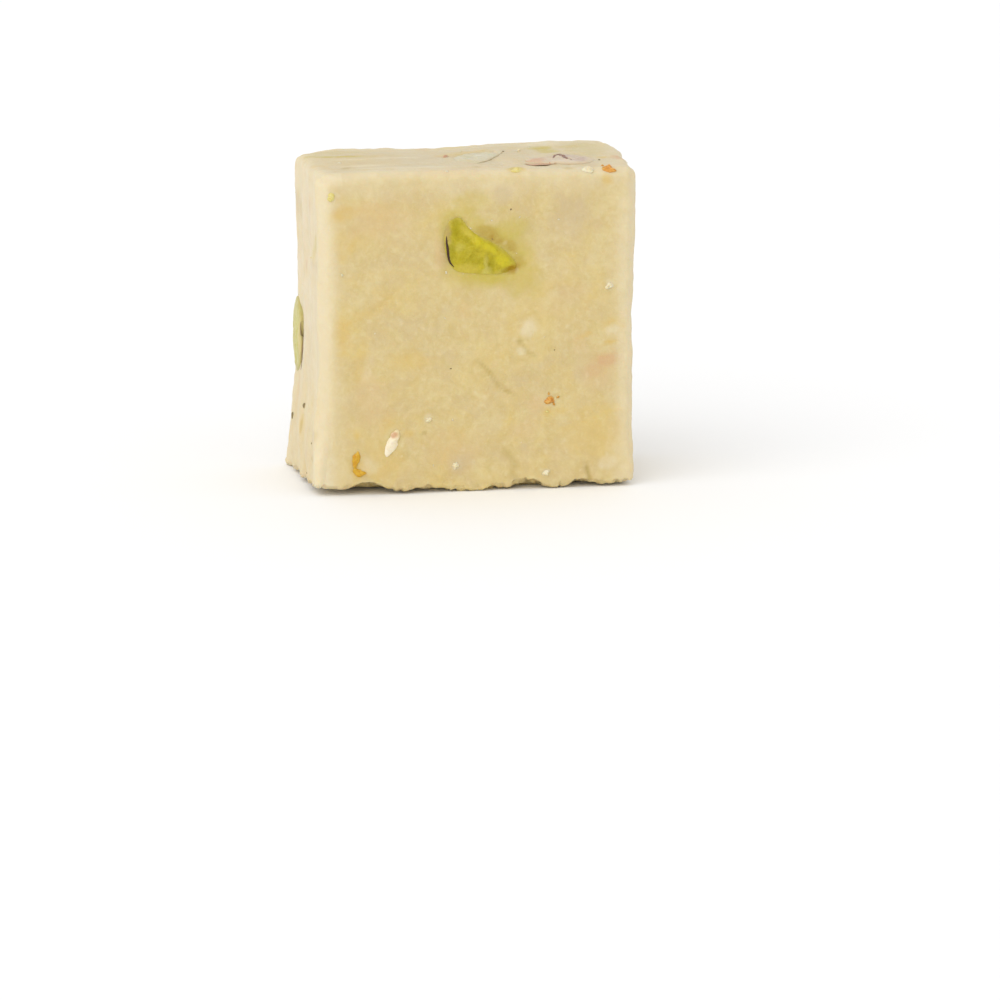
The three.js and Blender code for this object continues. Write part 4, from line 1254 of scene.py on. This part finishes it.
# Thin skins that show as dark or pink lines beside the nuts: place, path, width and height. A path on a nut
# is in the nut's own plane, and one on a face is across and up it.
skins = {
    "pistachio_skins": {
        "slot": "pistachio",
        "base": (122, 92, 58), "mottle": (((150, 122, 80), 0.6, 0.45), ((94, 66, 40), 0.3, 0.35)),
        "bands": (
            ("left", ((-2.85, 15.3), (-2.7, 14.2), (-2.7, 12.8), (-2.9, 11.6), (-3.3, 10.3)),
             (0.3, 0.6, 0.75, 0.5, 0.6, 0.3), 0.1),
            ("pistachio_back", ((2.4, -0.6), (2.2, 1.2), (1.8, 2.8)), 0.2, 0.2),
            ("pistachio_right", ((-2.5, 1.2), (-2.6, 0), (-2.2, -1.5)), 0.18, 0.2),
        ),
    },
    "pistachio_dark_skin": {
        "slot": "pistachio",
        "base": (56, 28, 6), "mottle": (((84, 52, 20), 0.5, 0.4), ((46, 24, 12), 0.3, 0.35)),
        "glow": (0.03, 0.2),
        "bands": (
            ("front", ((-3.11, 24.9), (-3.08, 24.3), (-3, 23.77), (-2.93, 22.99), (-2.75, 22.35),
                       (-2.35, 21.85)), 0.25, 0.16),
        ),
    },
    "almond_skins": {
        "slot": "almond",
        "base": (205, 163, 129), "mottle": (((196, 146, 114), 0.7, 0.45), ((212, 182, 146), 0.4, 0.4)),
        "grain": (0.12, 0.4, 0.02), "roughness": (0.45, 0.65),
        "bands": (
            ("top", ((5.1, -4.4), (5.8, -4.6), (7, -4.75), (8.1, -4.8)), (0.9, 1.8, 1.5, 0.8), 0.03),
            ("almond_back", ((1.6, 0.6), (1.5, -1.4), (1.2, -3)), 0.4, 0.24),
        ),
    },
    "almond_dark_skin": {
        "slot": "almond",
        "base": (140, 104, 88), "mottle": (((166, 134, 112), 0.5, 0.45), ((112, 78, 66), 0.3, 0.35)),
        "roughness": (0.45, 0.65),
        "bands": (
            ("almond_top", ((-0.79, -0.57), (-0.52, 0.77), (-0.16, 1.57), (0.2, 0.72), (0.57, -1),
                            (1.05, -1.93)), (0.2, 0.36, 0.4, 0.4, 0.3), 0.1),
            ("almond_back", ((-1.6, 1.2), (-1.75, -0.4), (-1.6, -2)), 0.22, 0.24),
        ),
    },
    "slice_skin": {
        "slot": "pistachio_pale",
        "base": (188, 170, 128), "mottle": (((174, 154, 112), 0.5, 0.45), ((198, 182, 142), 0.3, 0.35)),
        "roughness": (0.45, 0.65),
        "bands": (
            ("top", ((0.01, -4.48), (0.87, -3.7), (1.71, -2.74), (3.01, -0.64), (3.7, 0.96), (4.17, 2.11)),
             0.24, 0.04),
        ),
    },
}


# Each skin: tapered bands laid along its paths
def makeSkins():
    for name, look in skins.items():
        shapes = [band(*layPath(place, path, samples=60, lift=0.02), width, height)
                  for place, path, width, height in look["bands"]]
        putPiece(name, shapes, foodMaterial(name + "Look", look))


makeSkins()

bitForm = {  # of all small pieces
    "sink": 0.45,  # depth below the rim
    "fullness": 0.2,  # as a nut's
    "steepness": 0.9,
    "pitch": 0.3,  # length of the roughness, in widths
}
bitLooks = {  # around and rows are the faces of a piece, waver and rough its unevenness
    "paleGrain": {
        "name": "pale_grains", "around": 24, "rows": (4, 10), "waver": 0.4, "rough": 0.8,
        "base": (226, 213, 178), "mottle": (((234, 224, 198), 0.5, 0.4), ((214, 198, 154), 0.4, 0.4)),
        "grain": (0.12, 0.4, 0.03), "glow": (0.3, 0.8),
    },
    "yellowCrumb": {
        "name": "yellow_crumbs", "around": 24, "rows": (4, 10), "waver": 0.35, "rough": 0.7,
        "base": (216, 198, 116), "mottle": (((222, 207, 146), 0.5, 0.45), ((210, 186, 96), 0.3, 0.35)),
        "grain": (0.12, 0.4, 0.03), "glow": (0.25, 0.8),
    },
    "orangeCrumb": {
        "name": "orange_crumbs", "around": 26, "rows": (4, 12), "waver": 0.3, "rough": 0.8,
        "base": (212, 144, 46), "mottle": (((186, 108, 28), 0.45, 0.45), ((220, 176, 96), 0.35, 0.45)),
        "grain": (0.12, 0.4, 0.04), "roughness": (0.3, 0.5), "glow": (0.3, 0.8),
    },
    "redFleck": {
        "name": "red_flecks", "around": 22, "rows": (4, 8), "waver": 0.35, "rough": 0.7,
        "base": (197, 152, 120), "mottle": (((182, 124, 96), 0.4, 0.45), ((208, 178, 142), 0.3, 0.4)),
        "grain": (0.12, 0.4, 0.03), "glow": (0.2, 0.6),
    },
    "brownSpeck": {
        "name": "brown_specks", "around": 18, "rows": (4, 6), "waver": 0.3, "rough": 0.5,
        "base": (134, 116, 72), "mottle": (((102, 86, 52), 0.3, 0.45), ((164, 146, 100), 0.25, 0.4)),
    },
}

# Tiny specks that lie in the surface: kind and face, then the true place across and up and the width of each
specks = (
    ("brownSpeck", "front", (-2.68, 12.07, 0.18), (3.09, 27.27, 0.22), (7.37, 13.59, 0.16),
     (1.3, 24.5, 0.16)),
    ("brownSpeck", "left", (5.25, 4.71, 0.2), (4.62, 1.7, 0.22)),
    ("brownSpeck", "top", (12.5, -3.73, 0.26), (2.21, -2.17, 0.22), (4.17, 2.11, 0.26)),
    ("paleGrain", "top", (5.77, 2.46, 0.45)),
    ("paleGrain", "front", (-2.55, 7.09, 0.26), (-3.11, 21.37, 0.32), (-13.1, 21.4, 0.3)),
    ("paleGrain", "top", (-12.3, -1, 0.4), (-3, -7.6, 0.3)),
    ("orangeCrumb", "top", (12.2, -6.8, 0.4)),
    ("orangeCrumb", "front", (7.75, 8.95, 0.4), (6.85, 9.3, 0.34), (7.35, 8.3, 0.36)),
    ("redFleck", "top", (7.5, -4.6, 0.4)),
    ("yellowCrumb", "front", (6.71, 7.54, 0.34)),
)

# Pale grains and other specks too small to list one by one: count on each face
fineSpecks = {
    "seed": 23,
    "countOnFace": {"front": 14, "back": 24, "left": 10, "right": 12, "top": 12},
    "clearOfEdge": 0.8,
    "width": (0.1, 0.24),
    "kinds": ("paleGrain", "paleGrain", "yellowCrumb"),
}
speckForm = {"around": 10, "rows": (2, 3)}  # each speck's own, whatever its kind
speckSize = {"slimness": 0.7, "sink": 0.12, "rise": 0.3}  # but for the sink, in widths


# The fine specks, drawn one after the other: kind, face, place and width
def drawSpecks():
    draw = np.random.default_rng(fineSpecks["seed"])
    clear, drawn = fineSpecks["clearOfEdge"], []
    for face, count in fineSpecks["countOnFace"].items():
        reach, low, high = faceSpan(face)
        for _ in range(count):
            kind = draw.choice(fineSpecks["kinds"])
            at = (draw.uniform(clear - reach, reach - clear), draw.uniform(low + clear, high - clear))
            drawn.append((kind, face, at, draw.uniform(*fineSpecks["width"])))
    return drawn


# Where a share of the true box lies on the finished dough, and a piece's directions there: out along the
# surface, and turned on it by degrees
def seatOnDough(face, share, turn):
    point, out = doughSurface(share)
    side = np.cross(out[0], faceAxes(face)[0])
    side /= np.linalg.norm(side)
    return {"point": point[0], "axes": spun([np.cross(side, out[0]), side, out[0]], turn)}


# A lump of a kind: a pebble on an uneven rim, its top roughened by noise
def lump(look, size, sink, rise, key):
    rim = unevenRim(*size, look["around"], look["waver"], key)
    pitch = bitForm["pitch"] * size[1]
    rough = look["rough"] * rise
    return pebble(rim, sink, rise, bitForm["fullness"], look["rows"],
                  lambda x, y: rough * noise(columns(x / pitch, y / pitch, key)), bitForm["steepness"])


# All bits and specks, gathered into one piece for each kind. Each speck is turned a seventh of 180 degrees
# further than the last.
def makeBits():
    shapes = {kind: [] for kind in bitLooks}
    for key, (kind, face, at, size, turn, rise) in enumerate(placedBits):
        if kind in bitLooks:
            place = seatOnDough(face, facePlaces(face, *at), turn)
            shapes[kind].append(seated(lump(bitLooks[kind], size, bitForm["sink"], rise, key), place))
    placed = [(kind, face, at, width) for kind, face, *spots in specks for *at, width in spots]
    for key, (kind, face, at, width) in enumerate(placed + drawSpecks()):
        size = (width, speckSize["slimness"] * width)
        place = seatOnDough(face, aimed(face, *at), 180 * key / 7)
        speck = lump({**bitLooks[kind], **speckForm}, size, speckSize["sink"], speckSize["rise"] * width, key)
        shapes[kind].append(seated(speck, place))
    for kind, look in bitLooks.items():
        putPiece(look["name"], shapes[kind], foodMaterial(kind + "Look", look))


bandLooks = {
    "sliver": {
        "name": "almond_sliver", "slot": "almond",
        "base": (236, 223, 194), "mottle": (((243, 235, 214), 0.6, 0.4), ((222, 204, 162), 0.4, 0.35)),
        "marks": {"cream": ((222, 200, 148), 0.8, 1, 0.5), "pink": ((186, 112, 74), 1, 0.8, 0.3)},
        "grain": (0.14, 0.4, 0.03), "roughness": (0.35, 0.55), "glow": (0.12, 0.35),
    },
    "strand": {
        "name": "fruit_strands", "slot": "sweet_dough",
        "base": (202, 150, 8), "mottle": (((186, 126, 4), 0.7, 0.5), ((212, 174, 50), 0.4, 0.5)),
        "grain": (0.14, 0.4, 0.03), "roughness": (0.28, 0.45), "glow": (0.2, 0.6),
    },
}
sliverSpots = (("pink", -8.25, 5.88, 0.8, 0.6, 15, 0.6), ("cream", -8.05, 6.1, 1.6, 1.3, 0, 1))
# Unevenness of these spots, as height, length and place in the noise, and that of the bands outwards, to the
# right and upwards
sliverWarp = ((0.2, 0.3, 0),)
bandUnevenness = ((0.07, 0.45, 0), (0.12, 0.4, 15), (0.12, 0.4, 41))


# Bands with a softly uneven surface. The sliver's marks are spots across and up the face.
def makeBands():
    for kind, look in bandLooks.items():
        shapes = []
        for bandKind, face, _, path, widths, height in fusedBands:
            if bandKind != kind:
                continue
            shape = band(*layPath(face, path, samples=44, lift=0), widths, height, around=22, taper=0.35)
            right, upward, outward = faceAxes(face)
            for side, wave in zip((outward, right, upward), bandUnevenness):
                shape["points"] += ripples(shape["points"], (wave,))[:, None] * side
            across, up = onFace(face, shape["points"])
            warp = ripples(shape["points"], sliverWarp)
            shape["marks"] = {
                mark: strength * softSpot(across - atX, up - atY, length, width, turn, warp)
                for mark, atX, atY, length, width, turn, strength in sliverSpots if "marks" in look
            }
            shapes.append(shape)
        putPiece(look["name"], shapes, foodMaterial(kind + "Look", look))


makeBits()
makeBands()

# The floor, the light and the camera

floor = {"size": 12000, "colour": (250, 250, 250), "roughness": 0.9}
sun = {"strength": 1.15, "spread": 70, "from": (-0.55, -0.6, 0.62)}
skyStrength = 0.86
camera = {
    "eye": (-63.658, -378.834, 81.557),  # millimetres
    "towards": (0.17047919, 0.96185324, -0.21395139),
    "lens": 144,
    "sensor": 36,
    "clip": (0.01, 50),
}


# A flat square that the part stands on
def makeFloor():
    reach = floor["size"] / 2 * mm
    mesh = bpy.data.meshes.new("floor")
    mesh.from_pydata([(-reach, -reach, 0), (reach, -reach, 0), (reach, reach, 0), (-reach, reach, 0)], [],
                     [(0, 1, 2, 3)])
    material = bpy.data.materials.new("paleFloor")
    material.use_nodes = True
    shader = material.node_tree.nodes["Principled BSDF"]
    shader.inputs["Base Color"].default_value = colour(*floor["colour"])
    shader.inputs["Roughness"].default_value = floor["roughness"]
    mesh.materials.append(material)
    plane = newObject("floor", mesh)


# Directions of an object that looks along a direction: its right, its up and its back, as a turn
def turnTowards(direction):
    ahead = np.array(direction) / np.linalg.norm(direction)
    right = np.cross(ahead, (0, 0, 1))
    right /= np.linalg.norm(right)
    return Matrix(np.column_stack([right, np.cross(right, ahead), -ahead]).tolist())


# An even sky, and one wide soft sun from the upper left of the front
def makeLight():
    scene = bpy.context.scene
    scene.view_settings.view_transform = "Standard"
    scene.world = bpy.data.worlds.new("studio")
    scene.world.use_nodes = True
    background = scene.world.node_tree.nodes["Background"]
    background.inputs["Color"].default_value = (1, 1, 1, 1)
    background.inputs["Strength"].default_value = skyStrength
    data = bpy.data.lights.new("softKey", "SUN")
    data.energy = sun["strength"]
    data.angle = np.radians(sun["spread"])
    newObject("softKey", data).matrix_world = turnTowards([-c for c in sun["from"]]).to_4x4()


# A camera at its place, looking its own way
def makeCamera():
    data = bpy.data.cameras.new("camera")
    data.lens, data.sensor_width = camera["lens"], camera["sensor"]
    data.clip_start, data.clip_end = camera["clip"]
    eye = newObject("camera", data)
    place = turnTowards(camera["towards"]).to_4x4()
    place.translation = [c * mm for c in camera["eye"]]
    eye.matrix_world = place
    bpy.context.scene.camera = eye


makeFloor()
makeLight()
makeCamera()
print("floor, light and camera made")
